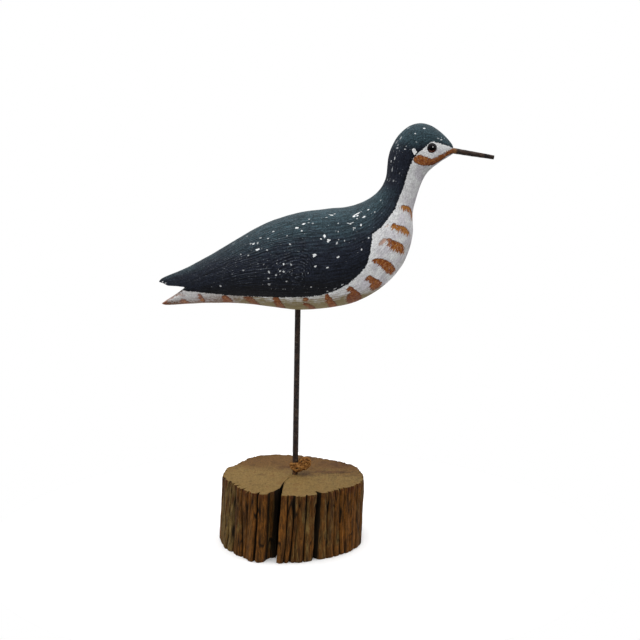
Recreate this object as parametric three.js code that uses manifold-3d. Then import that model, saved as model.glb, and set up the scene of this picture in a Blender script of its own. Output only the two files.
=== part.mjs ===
// Shorebird decoy: a carved and painted wooden bird on an iron rod, set in a slice of weathered log.
// Millimetres. The bill points along +X, the viewer stands at -Y and Z is up. The origin is on the
// underside of the log, where the line of the rod meets it.

import * as THREE from "three";
import { mergeVertices } from "three/addons/utils/BufferGeometryUtils.js";
import Module from "manifold-3d";

const wasm = await Module();
wasm.setup();

const FIT_GAP = 0.3; // clearance left all round a piece in its socket
const Y_AXIS = new THREE.Vector3(0, 1, 0); // the axis of three.js cylinders and turned shapes

// The log slice
const LOG_HEIGHT = 58.2;
const LOG_CENTRE = { x: -0.4, y: -1.9 }; // centre of the top outline
const LOG_LEAN = 2.2 / LOG_HEIGHT; // the top sits this far to +X, for each millimetre of height
const LOG_FLARE = 1.015; // the foot is this much wider than the top
const RIM_WEAR = 0.7; // radius worn off both rims
const RIM_HEIGHT = 1.6; // height of the worn band
const OUTLINE_STEP = 4.2; // longest stretch of outline between two points
const SHORTEST_STEP = 0.3;
const ROD_SOCKET_DEPTH = 38;

// The rod
const ROD_DIAMETER = 4.4;
const ROD_LEAN = THREE.MathUtils.degToRad(1.1); // towards +X, going up
const ROD_TOP = 229;
const ROD_SIDES = 24;
const BORE_START = 180; // the bird's bore is cut from this height, which is below the belly
const BORE_OVERRUN = 10; // a bore runs this far out of the log's top

// The bird's tessellation
const RIBS = 60;
const POINTS_ROUND = 36;

// The bill, an iron spike driven into the head
const BILL_ROOT = new THREE.Vector3(121, 0, 343.1);
const BILL_TIP = new THREE.Vector3(169.2, 0, 335.2);
const BILL_ROOT_RADIUS = 1.4;
const BILL_FACE_RADIUS = 2.3; // where it leaves the head
const BILL_FACE_AT = 15.2; // distance of that place from the root
const BILL_TIP_RADIUS = 1.65;
const BILL_SOCKET_OVERRUN = 8; // the socket is cut this far past the face
const BILL_SIDES = 14;

// The glass eyes
const EYE_DIAMETER = 7.8;
const EYE_PLACE = { x: 116.2, z: 343.9 };
const EYE_SUNK = 2.6; // depth of the eye below its rim
const EYE_DOME = 1.9; // height of the dome above its rim
const EYE_SET_BACK = 0.5; // the rim lies this far under the skin at the eye's middle
const EYE_SIDES = 20;
const DOME_STEPS = 4;

// The notch that parts the wing tips from the tail
const NOTCH_APEX = [-92.2, 225.6];
const WING_UNDERSIDE = [[-99, 225.7], [-106.5, 226.3], [-110.5, 228.2], [-114.6, 229.1], [-124, 230.5]];
const TAIL_TOP = [
  [-124, 203.5], [-112.4, 210.6], [-106.9, 214.4], [-103, 216.7], [-99.2, 219.3], [-95.3, 222.6],
];
const TAIL_CROWN = 3.2; // the tail's top falls this far at TAIL_CROWN_AT from its middle
const TAIL_CROWN_AT = 10;
const NOTCH_HALF_WIDTH = 20;
const NOTCH_STEPS = 12; // strips across the notch

// The carver's stations, from the tail to the bill. Each one is a rib that stands across the bird and
// joins a point of the back to a point of the belly: [x, z] of both, the half width, and the height of
// the widest place, counted from the belly as a part of the rib.
const STATIONS = [
  { back: [-115.0, 229.6], belly: [-112.8, 210.2], half: 2.2, widest: 0.5 },
  { back: [-111.3, 232.7], belly: [-109.0, 209.3], half: 5.6, widest: 0.5 },
  { back: [-103.5, 236.1], belly: [-101.5, 209.4], half: 8.4, widest: 0.52 },
  { back: [-91.0, 241.3], belly: [-88.5, 210.3], half: 12.5, widest: 0.53 },
  { back: [-71.0, 251.9], belly: [-67.0, 211.3], half: 19.5, widest: 0.52 },
  { back: [-47.0, 266.2], belly: [-43.0, 210.9], half: 26.5, widest: 0.5 },
  { back: [-22.0, 279.8], belly: [-19.0, 208.2], half: 31.5, widest: 0.48 },
  { back: [4.0, 288.2], belly: [5.0, 205.5], half: 34.0, widest: 0.47 },
  { back: [28.0, 291.6], belly: [31.0, 207.3], half: 34.0, widest: 0.47 },
  { back: [47.0, 293.6], belly: [53.8, 212.4], half: 32.3, widest: 0.48 },
  { back: [59.5, 297.6], belly: [75.8, 224.9], half: 29.3, widest: 0.49 },
  { back: [68.5, 303.0], belly: [91.2, 240.8], half: 25.2, widest: 0.5 },
  { back: [74.3, 309.0], belly: [99.2, 257.7], half: 21.0, widest: 0.5 },
  { back: [77.6, 315.0], belly: [102.0, 272.6], half: 17.4, widest: 0.5 },
  { back: [79.3, 321.5], belly: [101.5, 287.5], half: 14.6, widest: 0.5 },
  { back: [79.9, 328.5], belly: [105.0, 302.5], half: 13.0, widest: 0.5 },
  { back: [80.7, 335.5], belly: [109.0, 314.5], half: 12.7, widest: 0.5 },
  { back: [83.3, 344.0], belly: [112.9, 321.6], half: 13.3, widest: 0.5 },
  { back: [89.0, 353.6], belly: [117.5, 326.4], half: 14.1, widest: 0.5 },
  { back: [97.5, 361.0], belly: [121.8, 329.7], half: 14.5, widest: 0.5 },
  { back: [107.0, 363.7], belly: [125.6, 332.4], half: 13.9, widest: 0.5 },
  { back: [116.3, 361.6], belly: [128.8, 334.3], half: 12.0, widest: 0.49 },
  { back: [124.4, 356.4], belly: [131.4, 336.0], half: 9.2, widest: 0.48 },
  { back: [130.6, 350.6], belly: [133.4, 337.3], half: 6.3, widest: 0.48 },
  { back: [135.0, 344.8], belly: [135.0, 338.2], half: 3.5, widest: 0.48 },
];

// The log's smooth outline: angle in degrees from +X, and radius
const LOG_OUTLINE = [
  [-174, 61.6], [-152, 58.4], [-138, 60.6], [-127, 62.2], [-116, 62.4], [-107, 58.6], [-93, 61.2],
  [-81, 62.9], [-69, 60.6], [-57, 59.6], [-47, 59.2], [-35, 61.8], [-17, 63.6], [-4, 61.6], [11, 59.6],
  [25, 59.2], [39, 57.4], [55, 55.4], [71, 56.2], [85, 58.8], [95, 61.4], [107, 64.6], [117, 67.2],
  [128, 65.0], [140, 60.9], [152, 58.4], [160, 60.4], [172, 61.4],
];

// The log's furrows: angle in degrees from +X, depth, width and the drift of the angle down to the foot
const FURROWS = [
  { angle: -158, depth: 2.2, width: 2.2, drift: 1.0 },
  { angle: -150.5, depth: 2.6, width: 2.0, drift: 1.5 },
  { angle: -137, depth: 2.8, width: 2.2, drift: 2.0 },
  { angle: -117, depth: 3.2, width: 2.4, drift: 0.5 },
  { angle: -92.5, depth: 2.4, width: 1.8, drift: -1.0 },
  { angle: -87.5, depth: 2.6, width: 2.2, drift: -1.0 },
  { angle: -78.5, depth: 3.0, width: 2.0, drift: 0.5 },
  { angle: -69, depth: 7.0, width: 3.4, drift: 0.5 },
  { angle: -57.5, depth: 2.8, width: 2.2, drift: -2.0 },
  { angle: -43.5, depth: 3.0, width: 2.4, drift: -2.5 },
  { angle: -30, depth: 2.2, width: 2.4, drift: -1.0 },
  { angle: -19, depth: 1.8, width: 2.0, drift: 0 },
];
// The far side, where the furrows follow a rule: even places, each shifted and sized by a slow wave
const QUIET_ARC = { from: -12, to: 194, count: 19 };
const QUIET_SHIFT = 0.22; // of the distance between two furrows
const QUIET_DEPTH = { mean: 2.1, swing: 0.9 };
const QUIET_WIDTH = { mean: 2.2, swing: 0.4 };
const QUIET_DRIFT = 1.4;
const DRIFT_REACH = 5; // a furrow's drift fades out over about this angle
const DRIFT_FLOOR = 0.05; // the pull towards no drift at all

// The open crack: distance from the log's centre, angle and half width, from the rim to its end
const CRACK = [
  { radius: 60, angle: -97.6, half: 3.0 },
  { radius: 50, angle: -99.6, half: 1.9 },
  { radius: 38, angle: -103, half: 0.8 },
  { radius: 24, angle: -107.4, half: 0.5 },
];
const CRACK_END = { radius: 10, angle: -110.3 };
const CRACK_DRIFT = -4.5; // the crack's turn from the top down to the foot, in degrees at the rim

// The twine round the rod's foot
const TWINE_RADIUS = 1.05;
const TWINE_SIDES = 8;
const WRAP_STEPS = 16;
const WRAP_HEIGHTS = [64.6, 66.5, 68.3];
const WRAP_TILT = THREE.MathUtils.degToRad(7);
const STEPS_PER_POINT = 3;
const OUTER_LOOP = [
  [3.2, -4.3, 65.2], [7, -5, 64.3], [11.2, -3.6, 65.8], [14.4, -1, 68.4], [14.2, 2, 71.2], [10.4, 3.6, 72.6],
];
const UPPER_LOOP = [
  [2.6, -4.2, 68], [6.4, -4.6, 69.4], [9.6, -2.4, 71.6], [11.8, 1, 72.4], [10, 4, 70.8], [5.6, 4.2, 68],
];
const INNER_LOOP = [
  [5.2, -3.4, 66.2], [8.4, -1.6, 68.4], [12, -2.4, 70], [13.4, -3.6, 67.6], [10, -5, 66.4], [6.6, -3.6, 67.8],
];
const TWINE_END = [[0.6, -4.3, 67.6], [-2.6, -3.8, 68.2], [-3.4, -4.6, 66.6]];

/** A closed geometry as a solid. */
function solidFrom(geometry) {
  const bare = geometry.clone();
  bare.deleteAttribute("normal");
  bare.deleteAttribute("uv");
  const merged = mergeVertices(bare, 1e-4);
  const vertProperties = new Float32Array(merged.attributes.position.array);
  const triVerts = new Uint32Array(merged.index.array);
  return new wasm.Manifold(new wasm.Mesh({ numProp: 3, vertProperties, triVerts }));
}

/** A solid as a geometry. */
function geometryFrom(solid) {
  const mesh = solid.getMesh();
  const geometry = new THREE.BufferGeometry();
  geometry.setAttribute("position", new THREE.BufferAttribute(new Float32Array(mesh.vertProperties), 3));
  geometry.setIndex(new THREE.BufferAttribute(new Uint32Array(mesh.triVerts), 1));
  return geometry;
}

/** A skin through rings of equally many points, closed by the given cap triangles on both ends. */
function skinThrough(rings, capTriangles) {
  const count = rings[0].length;
  const positions = rings.flat().flatMap((point) => [point.x, point.y, point.z]);
  const index = [];
  for (let ring = 0; ring + 1 < rings.length; ring += 1) {
    for (let i = 0; i < count; i += 1) {
      const a = ring * count + i;
      const b = ring * count + ((i + 1) % count);
      index.push(a, b, b + count, a, b + count, a + count);
    }
  }
  const last = (rings.length - 1) * count;
  for (const [a, b, c] of capTriangles) {
    index.push(a, c, b, last + a, last + b, last + c);
  }
  const geometry = new THREE.BufferGeometry();
  geometry.setAttribute("position", new THREE.Float32BufferAttribute(positions, 3));
  geometry.setIndex(index);
  return geometry;
}

/** The triangles that fill a convex ring of points, as strips across it. */
function stripCap(count) {
  const triangles = [];
  for (let i = 1; i <= count / 2; i += 1) {
    const low = count - i;
    triangles.push([i - 1, i, low % count]);
    triangles.push([(low + 1) % count, i - 1, low % count]);
  }
  return triangles.filter(([a, b, c]) => a !== b && b !== c && a !== c);
}

/** A smooth curve through one value of every station, as three numbers. */
function stationCurve(pick) {
  const points = STATIONS.map((station) => new THREE.Vector3(...pick(station)));
  return new THREE.CatmullRomCurve3(points, false, "catmullrom", 0.5);
}

const backLine = stationCurve(({ back }) => [back[0], 0, back[1]]);
const bellyLine = stationCurve(({ belly }) => [belly[0], 0, belly[1]]);
const breadth = stationCurve(({ half, widest }) => [half, widest, 0]);

/** The bird's rib at a place from 0, the tail, to 1, the bill: an egg between back and belly. */
function rib(place) {
  const back = backLine.getPoint(place);
  const belly = bellyLine.getPoint(place);
  const { x: half, y: widest } = breadth.getPoint(place);
  const points = [];
  for (let i = 0; i < POINTS_ROUND; i += 1) {
    const turn = (i / POINTS_ROUND) * 2 * Math.PI;
    const reach = Math.cos(turn) > 0 ? 1 - widest : widest;
    const height = widest + reach * Math.cos(turn);
    const point = belly.clone().lerp(back, height);
    point.y = -half * Math.sin(turn);
    points.push(point);
  }
  return points;
}

/** The bird's whole body before its notch and sockets are cut. */
function blankBird() {
  const ribs = [];
  for (let i = 0; i <= RIBS; i += 1) {
    ribs.push(rib(i / RIBS));
  }
  return skinThrough(ribs, stripCap(POINTS_ROUND));
}

/** The wedge of air between the wing tips and the tail, with its lower face crowned. */
function notchCutter() {
  const outline = [NOTCH_APEX, ...WING_UNDERSIDE, ...TAIL_TOP].map(([x, z]) => new THREE.Vector2(x, z));
  const depth = 2 * NOTCH_HALF_WIDTH;
  const shape = new THREE.Shape(outline);
  const wedge = new THREE.ExtrudeGeometry(shape, { depth, steps: NOTCH_STEPS, bevelEnabled: false });
  wedge.rotateX(Math.PI / 2);
  wedge.translate(0, NOTCH_HALF_WIDTH, 0);
  const position = wedge.attributes.position;
  const tailLevels = TAIL_TOP.map(([, z]) => z);
  for (let i = 0; i < position.count; i += 1) {
    const isTail = tailLevels.some((level) => Math.abs(level - position.getZ(i)) < 1e-4);
    const side = position.getY(i) / TAIL_CROWN_AT;
    const fall = isTail ? TAIL_CROWN * side * side : 0;
    position.setZ(i, position.getZ(i) - fall);
  }
  return wedge;
}

/** A geometry made round the Y axis, turned to a direction and moved to a place. */
function stood(geometry, place, direction) {
  geometry.applyQuaternion(new THREE.Quaternion().setFromUnitVectors(Y_AXIS, direction));
  geometry.translate(place.x, place.y, place.z);
  return geometry;
}

/** A straight round bar between two points. */
function bar(from, to, radius, sides) {
  const along = to.clone().sub(from);
  const geometry = new THREE.CylinderGeometry(radius, radius, along.length(), sides);
  geometry.translate(0, along.length() / 2, 0);
  return stood(geometry, from, along.normalize());
}

/** The point of the rod's axis at a height. */
function rodAxis(height) {
  return new THREE.Vector3(height * Math.tan(ROD_LEAN), 0, height);
}

/** A shape turned round the bill's axis, from a profile of [distance from the root, radius]. */
function turnedOnBill(profile) {
  const points = profile.map(([along, radius]) => new THREE.Vector2(radius, along));
  const along = BILL_TIP.clone().sub(BILL_ROOT).normalize();
  return stood(new THREE.LatheGeometry(points, BILL_SIDES), BILL_ROOT, along);
}

/** The spike that makes the bill. */
function bill() {
  const length = BILL_TIP.distanceTo(BILL_ROOT);
  return turnedOnBill([
    [0, 0],
    [0, BILL_ROOT_RADIUS],
    [BILL_FACE_AT, BILL_FACE_RADIUS],
    [length, BILL_TIP_RADIUS],
    [length, 0],
  ]);
}

/** The hole that the bill's root stands in. */
function billSocket() {
  const mouth = BILL_FACE_AT + BILL_SOCKET_OVERRUN;
  return turnedOnBill([
    [-FIT_GAP, 0],
    [-FIT_GAP, BILL_ROOT_RADIUS + FIT_GAP],
    [BILL_FACE_AT, BILL_FACE_RADIUS + FIT_GAP],
    [mouth, BILL_FACE_RADIUS + FIT_GAP],
    [mouth, 0],
  ]);
}

/** Where one eye lies: its middle on the skin and the direction that it looks in. */
function eyeSeat(skin, side) {
  const far = new THREE.Vector3(EYE_PLACE.x, side * 100, EYE_PLACE.z);
  const ray = new THREE.Raycaster(far, new THREE.Vector3(0, -side, 0));
  const [hit] = ray.intersectObject(new THREE.Mesh(skin));
  return { middle: hit.point, look: hit.face.normal.clone() };
}

/** A shape turned round an eye's line of sight, from a profile of [height over the rim, radius]. */
function turnedOnEye(profile, { middle, look }) {
  const points = profile.map(([height, radius]) => new THREE.Vector2(radius, height));
  const geometry = new THREE.LatheGeometry(points, EYE_SIDES);
  geometry.translate(0, -EYE_SET_BACK, 0);
  return stood(geometry, middle, look);
}

/** The glass eye: a drum in the wood with a dome over it. */
function eye(seat) {
  const radius = EYE_DIAMETER / 2;
  const profile = [[-EYE_SUNK, 0], [-EYE_SUNK, radius], [0, radius]];
  for (let i = 1; i <= DOME_STEPS; i += 1) {
    const turn = (i / DOME_STEPS) * (Math.PI / 2);
    profile.push([EYE_DOME * Math.sin(turn), i === DOME_STEPS ? 0 : radius * Math.cos(turn)]);
  }
  return turnedOnEye(profile, seat);
}

/** The hole that an eye is set in. */
function eyeSocket(seat) {
  const radius = EYE_DIAMETER / 2 + FIT_GAP;
  const floor = -EYE_SUNK - FIT_GAP;
  const mouth = 2 * EYE_DOME;
  return turnedOnEye([[floor, 0], [floor, radius], [mouth, radius], [mouth, 0]], seat);
}

/** The log's smooth radius at an angle in degrees, by a closed smooth curve through its outline. */
function smoothRadius(angle) {
  const count = LOG_OUTLINE.length;
  const start = LOG_OUTLINE[0][0];
  const wanted = start + ((((angle - start) % 360) + 360) % 360);
  let segment = count - 1;
  while (LOG_OUTLINE[segment][0] > wanted) {
    segment -= 1;
  }
  const knot = (i) => {
    const [at, radius] = LOG_OUTLINE[((i % count) + count) % count];
    return { at: at + 360 * Math.floor(i / count), radius };
  };
  const [before, low, high, after] = [-1, 0, 1, 2].map((step) => knot(segment + step));
  const share = (wanted - low.at) / (high.at - low.at);
  const slopeLow = ((high.radius - before.radius) / (high.at - before.at)) * (high.at - low.at);
  const slopeHigh = ((after.radius - low.radius) / (after.at - low.at)) * (high.at - low.at);
  const square = share * share;
  const cube = square * share;
  return (
    low.radius * (2 * cube - 3 * square + 1) +
    slopeLow * (cube - 2 * square + share) +
    high.radius * (3 * square - 2 * cube) +
    slopeHigh * (cube - square)
  );
}

/** All furrows: the ones in front as they stand, and those of the far side by a rule. */
function allFurrows() {
  const { from, to, count } = QUIET_ARC;
  const furrows = [...FURROWS];
  for (let i = 0; i < count; i += 1) {
    const angle = from + ((i + 0.5 + QUIET_SHIFT * Math.sin(2.4 * i)) / count) * (to - from);
    const depth = QUIET_DEPTH.mean + QUIET_DEPTH.swing * Math.sin(1.7 * i);
    const width = QUIET_WIDTH.mean + QUIET_WIDTH.swing * Math.cos(2.9 * i);
    furrows.push({ angle, depth, width, drift: QUIET_DRIFT * Math.sin(1.1 * i) });
  }
  return furrows;
}

const furrows = allFurrows();
const arcPerDegree = (smoothRadius(0) * Math.PI) / 180;

/** The difference of two angles in degrees, between -180 and 180. */
function turnBetween(a, b) {
  return ((((a - b) % 360) + 540) % 360) - 180;
}

/** The log's radius with its furrows, at an angle of the top outline. */
function barkRadius(angle) {
  let radius = smoothRadius(angle);
  for (const furrow of furrows) {
    const away = (turnBetween(angle, furrow.angle) * arcPerDegree) / (furrow.width / 2);
    radius -= furrow.depth * Math.exp(-away * away);
  }
  return radius;
}

/** How far the furrow pattern drifts at an angle, from the top down to the foot. */
function driftAt(angle) {
  let drift = 0;
  let weight = DRIFT_FLOOR;
  for (const furrow of [...furrows, { angle: CRACK[0].angle, drift: CRACK_DRIFT }]) {
    const near = Math.exp(-((turnBetween(angle, furrow.angle) / DRIFT_REACH) ** 2));
    drift += near * furrow.drift;
    weight += near;
  }
  return drift / weight;
}

/** The top outline as polar points, with the open crack running in from the rim. */
function logOutline() {
  const rimCrack = CRACK[0];
  const mouth = rimCrack.half / arcPerDegree;
  const angles = [];
  for (const { angle, width } of furrows) {
    for (const share of [-0.9, -0.45, 0, 0.45, 0.9]) {
      angles.push(angle + (share * width) / arcPerDegree);
    }
  }
  const start = rimCrack.angle + mouth;
  const outside = angles
    .map((angle) => start + ((((angle - start) % 360) + 360) % 360))
    .filter((angle) => angle < start + 360 - 2 * mouth)
    .sort((a, b) => a - b);
  const round = [start];
  for (const angle of [...outside, start + 360 - 2 * mouth]) {
    const gap = (angle - round[round.length - 1]) * arcPerDegree;
    const steps = Math.max(1, Math.ceil(gap / OUTLINE_STEP));
    const previous = round[round.length - 1];
    if (gap > SHORTEST_STEP) {
      for (let i = 1; i <= steps; i += 1) {
        round.push(previous + ((angle - previous) * i) / steps);
      }
    }
  }
  const points = round.map((angle) => ({ angle, radius: barkRadius(angle) }));
  const inlet = (side) =>
    CRACK.slice(1).map(({ radius, angle, half }) => {
      const widthAngle = THREE.MathUtils.radToDeg(half / radius);
      return { angle: angle + side * widthAngle, radius };
    });
  return [...points, ...inlet(-1), CRACK_END, ...inlet(1).reverse()];
}

/** The ring of the log's side at a height. */
function logRing(outline, height, worn) {
  const down = 1 - height / LOG_HEIGHT;
  return outline.map(({ angle, radius }) => {
    const atRim = Math.min(1, radius / CRACK[0].radius);
    const turned = THREE.MathUtils.degToRad(angle + driftAt(angle) * down * atRim);
    const wide = radius * (1 + (LOG_FLARE - 1) * down) - worn * atRim * atRim;
    const x = LOG_CENTRE.x - LOG_LEAN * (LOG_HEIGHT - height) + wide * Math.cos(turned);
    return new THREE.Vector3(x, LOG_CENTRE.y + wide * Math.sin(turned), height);
  });
}

/** The log slice before the rod's socket is bored. */
function blankLog() {
  const outline = logOutline();
  const rings = [
    logRing(outline, 0, RIM_WEAR),
    logRing(outline, RIM_HEIGHT, 0),
    logRing(outline, LOG_HEIGHT / 2, 0),
    logRing(outline, LOG_HEIGHT - RIM_HEIGHT, 0),
    logRing(outline, LOG_HEIGHT, RIM_WEAR),
  ];
  const contour = rings[rings.length - 1].map((point) => new THREE.Vector2(point.x, point.y));
  return skinThrough(rings, THREE.ShapeUtils.triangulateShape(contour, []));
}

/** A stretch of twine along a smooth path. */
function twine(points) {
  const path = new THREE.CatmullRomCurve3(points.map((point) => new THREE.Vector3(...point)));
  const section = new THREE.Shape();
  section.absarc(0, 0, TWINE_RADIUS, 0, 2 * Math.PI);
  const steps = STEPS_PER_POINT * (points.length - 1);
  const curveSegments = TWINE_SIDES / 2;
  const options = { extrudePath: path, steps, curveSegments, bevelEnabled: false };
  return new THREE.ExtrudeGeometry(section, options);
}

/** One turn of twine round the rod at a height. */
function wrap(height, index) {
  const radius = ROD_DIAMETER / 2 + FIT_GAP + TWINE_RADIUS;
  const turn = new THREE.TorusGeometry(radius, TWINE_RADIUS, TWINE_SIDES, WRAP_STEPS);
  turn.rotateX(WRAP_TILT * (index % 2 === 0 ? 1 : -1));
  const middle = rodAxis(height);
  turn.translate(middle.x, middle.y, middle.z);
  return turn;
}

/** The whole knot: turns round the rod, the tangled strands beside it and a short loose end. */
function knot() {
  const strands = [OUTER_LOOP, UPPER_LOOP, INNER_LOOP, TWINE_END].map(twine);
  const pieces = [...WRAP_HEIGHTS.map(wrap), ...strands];
  return pieces.map(solidFrom).reduce((whole, piece) => whole.add(piece));
}

const birdSkin = blankBird();
const eyeSeats = { left: eyeSeat(birdSkin, 1), right: eyeSeat(birdSkin, -1) };
const boreRadius = ROD_DIAMETER / 2 + FIT_GAP;
const rodFoot = LOG_HEIGHT - ROD_SOCKET_DEPTH;

const birdSolid = [
  notchCutter(),
  billSocket(),
  eyeSocket(eyeSeats.left),
  eyeSocket(eyeSeats.right),
  bar(rodAxis(BORE_START), rodAxis(ROD_TOP + FIT_GAP), boreRadius, ROD_SIDES),
].reduce((solid, cutter) => solid.subtract(solidFrom(cutter)), solidFrom(birdSkin));

const logSolid = solidFrom(blankLog()).subtract(
  solidFrom(bar(rodAxis(rodFoot - FIT_GAP), rodAxis(LOG_HEIGHT + BORE_OVERRUN), boreRadius, ROD_SIDES)),
);

const finishes = {
  bird: { color: 0x2c333d, roughness: 0.6, metalness: 0 },
  bill: { color: 0x382e2c, roughness: 0.7, metalness: 0.4 },
  eye: { color: 0x2a0d08, roughness: 0.05, metalness: 0 },
  rod: { color: 0x332a28, roughness: 0.7, metalness: 0.5 },
  log: { color: 0x6f5433, roughness: 0.9, metalness: 0 },
  twine: { color: 0x9a6a2c, roughness: 0.9, metalness: 0 },
};

/** A named mesh with a finish of its own. */
function piece(name, geometry, finish) {
  const mesh = new THREE.Mesh(geometry, new THREE.MeshStandardMaterial(finishes[finish]));
  mesh.name = name;
  return mesh;
}

const decoy = new THREE.Group();
decoy.add(
  piece("carved_bird", geometryFrom(birdSolid), "bird"),
  piece("bill", bill(), "bill"),
  piece("eye_left", eye(eyeSeats.left), "eye"),
  piece("eye_right", eye(eyeSeats.right), "eye"),
  piece("rod", bar(rodAxis(rodFoot), rodAxis(ROD_TOP), ROD_DIAMETER / 2, ROD_SIDES), "rod"),
  piece("log_base", geometryFrom(logSolid), "log"),
  piece("twine_knot", geometryFrom(knot()), "twine"),
);

export default decoy;
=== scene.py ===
"""A carved and painted wooden shorebird on an iron rod, set in a slice of weathered log.

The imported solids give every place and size. This script gives each of them its finished surface: the
bird's hand-cut skin with its paint, the glass eyes, the iron spike and rod, the twine at the rod's foot
and the split, grey-brown log. Sizes are in millimetres, in the frame of the solids: the bill points
along +X, the viewer stands at -Y and Z is up. Meshes are written in metres.
"""

import itertools
import logging
import math
from dataclasses import dataclass
from enum import Enum

import bmesh
import bpy
import numpy as np
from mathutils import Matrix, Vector
from mathutils.bvhtree import BVHTree
from mathutils.kdtree import KDTree
from numpy.typing import NDArray


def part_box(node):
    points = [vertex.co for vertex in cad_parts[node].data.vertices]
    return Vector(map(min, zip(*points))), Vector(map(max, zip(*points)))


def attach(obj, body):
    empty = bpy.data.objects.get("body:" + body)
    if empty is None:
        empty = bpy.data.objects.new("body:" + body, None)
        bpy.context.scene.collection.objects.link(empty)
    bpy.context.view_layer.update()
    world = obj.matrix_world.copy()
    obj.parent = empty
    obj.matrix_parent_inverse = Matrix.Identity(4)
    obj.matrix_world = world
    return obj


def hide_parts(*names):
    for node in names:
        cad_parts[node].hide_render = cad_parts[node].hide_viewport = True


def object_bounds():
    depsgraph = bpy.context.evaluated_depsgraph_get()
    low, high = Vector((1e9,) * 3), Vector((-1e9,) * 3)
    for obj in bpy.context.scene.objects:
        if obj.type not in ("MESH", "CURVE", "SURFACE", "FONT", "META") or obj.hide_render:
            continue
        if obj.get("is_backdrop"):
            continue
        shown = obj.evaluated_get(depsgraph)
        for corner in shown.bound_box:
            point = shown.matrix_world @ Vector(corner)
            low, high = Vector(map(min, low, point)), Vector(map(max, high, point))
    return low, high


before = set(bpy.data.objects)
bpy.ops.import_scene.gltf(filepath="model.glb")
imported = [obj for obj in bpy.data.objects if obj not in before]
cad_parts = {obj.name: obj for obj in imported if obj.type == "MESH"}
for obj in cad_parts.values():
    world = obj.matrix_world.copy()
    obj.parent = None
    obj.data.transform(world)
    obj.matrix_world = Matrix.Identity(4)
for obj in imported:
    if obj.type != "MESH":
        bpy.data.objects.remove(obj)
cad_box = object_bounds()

log = logging.getLogger("decoy")

MM = 0.001
PER_METRE = 1000.0

Array = NDArray[np.float64]
Colour = tuple[float, float, float]
Triple = tuple[float, float, float]
Point = tuple[float, float]
Socket = bpy.types.NodeSocket
Value = Socket | float | tuple


class Slot(Enum):
    """Names of the material slots."""

    PAINTED_WOOD = "painted_wood"
    IRON_SPIKE = "iron_spike"
    GLASS_EYE = "glass_eye"
    RUSTED_IRON = "rusted_iron"
    WEATHERED_LOG = "weathered_log"
    TWINE = "twine"


class Side(Enum):
    """A side of the bird, by the sign of Y."""

    LEFT = 1
    RIGHT = -1


# Shared tools: smooth noise, meshes, node trees


class Wobble:
    """Smooth noise between -1 and 1 over space, the same in every run."""

    SIZE = 48

    def __init__(self, seed: int) -> None:
        """Draw the lattice of random values.

        Args:
            seed: Starts the random numbers.
        """
        self.lattice = np.random.default_rng(seed).uniform(-1, 1, (self.SIZE,) * 3)

    def at(self, points: Array) -> Array:
        """Noise at some places.

        Args:
            points: Places as rows of three numbers, with one lattice cell as the unit.

        Returns:
            One value for each place.
        """
        cell = np.floor(points).astype(int)
        share = points - cell
        ease = share * share * (3 - 2 * share)
        total = np.zeros(len(points))
        for corner in itertools.product((0, 1), repeat=3):
            step = np.array(corner)
            index = (cell + step) % self.SIZE
            weight = np.prod(np.where(step == 1, ease, 1 - ease), axis=1)
            total += weight * self.lattice[index[:, 0], index[:, 1], index[:, 2]]
        return total

    def layered(self, points: Array, layers: int) -> Array:
        """Noise with finer and weaker layers over it.

        Args:
            points: Places as rows of three numbers.
            layers: Number of layers, each twice as fine and half as strong as the one before.

        Returns:
            One value for each place, about between -1 and 1.
        """
        total = sum(self.at(points * 2**i + 7.3 * i) / 2**i for i in range(layers))
        return total / (2 - 2.0 ** (1 - layers))


def smoothstep(values: Array | float, low: float, high: float) -> Array:
    """Values eased from 0 at low to 1 at high, where low may be the larger."""
    share = np.clip((values - low) / (high - low), 0, 1)
    return share * share * (3 - 2 * share)


def hermite(share: Array, start: Array, leaving: Array, end: Array, arriving: Array) -> Array:
    """Follow a cubic curve from one value to the next.

    Args:
        share: How far along, from 0 to 1.
        start: The value at 0.
        leaving: The slope at 0.
        end: The value at 1.
        arriving: The slope at 1.

    Returns:
        The values along the curve.
    """
    square, cube = share**2, share**3
    line = start * (2 * cube - 3 * square + 1) + leaving * (cube - 2 * square + share)
    return line + (end * (3 * square - 2 * cube) + arriving * (cube - square))


def smooth_through(rows: Array, places: Array) -> Array:
    """Follow a smooth curve through rows of numbers.

    Args:
        rows: The rows that the curve passes through, evenly spaced in its parameter.
        places: Places along the curve from 0, the first row, to 1, the last.

    Returns:
        The curve's rows at the places.
    """
    padded = np.vstack([2 * rows[0] - rows[1], rows, 2 * rows[-1] - rows[-2]])
    spot = places * (len(rows) - 1)
    low = np.minimum(spot.astype(int), len(rows) - 2)
    share = (spot - low)[:, None]
    before, start, end, after = (padded[low + i] for i in range(4))
    return hermite(share, start, (end - before) / 2, end, (after - start) / 2)


def grid_faces(rings: int, around: int) -> Array:
    """The quads between rings of points that close on themselves.

    Args:
        rings: Number of rings.
        around: Number of points in each.

    Returns:
        Four point numbers a row, facing outwards where the rings climb an axis anticlockwise.
    """
    ring, i = np.meshgrid(np.arange(rings - 1), np.arange(around), indexing="ij")
    a = ring * around + i
    b = ring * around + (i + 1) % around
    return np.stack([a, b, b + around, a + around], axis=-1).reshape(-1, 4)


def linked(name: str, data: bpy.types.ID) -> bpy.types.Object:
    """Make an object and link it to the scene.

    Args:
        name: Its name.
        data: Its mesh, curve, camera or light.

    Returns:
        The object.
    """
    thing = bpy.data.objects.new(name, data)
    bpy.context.scene.collection.objects.link(thing)
    return thing


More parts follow.
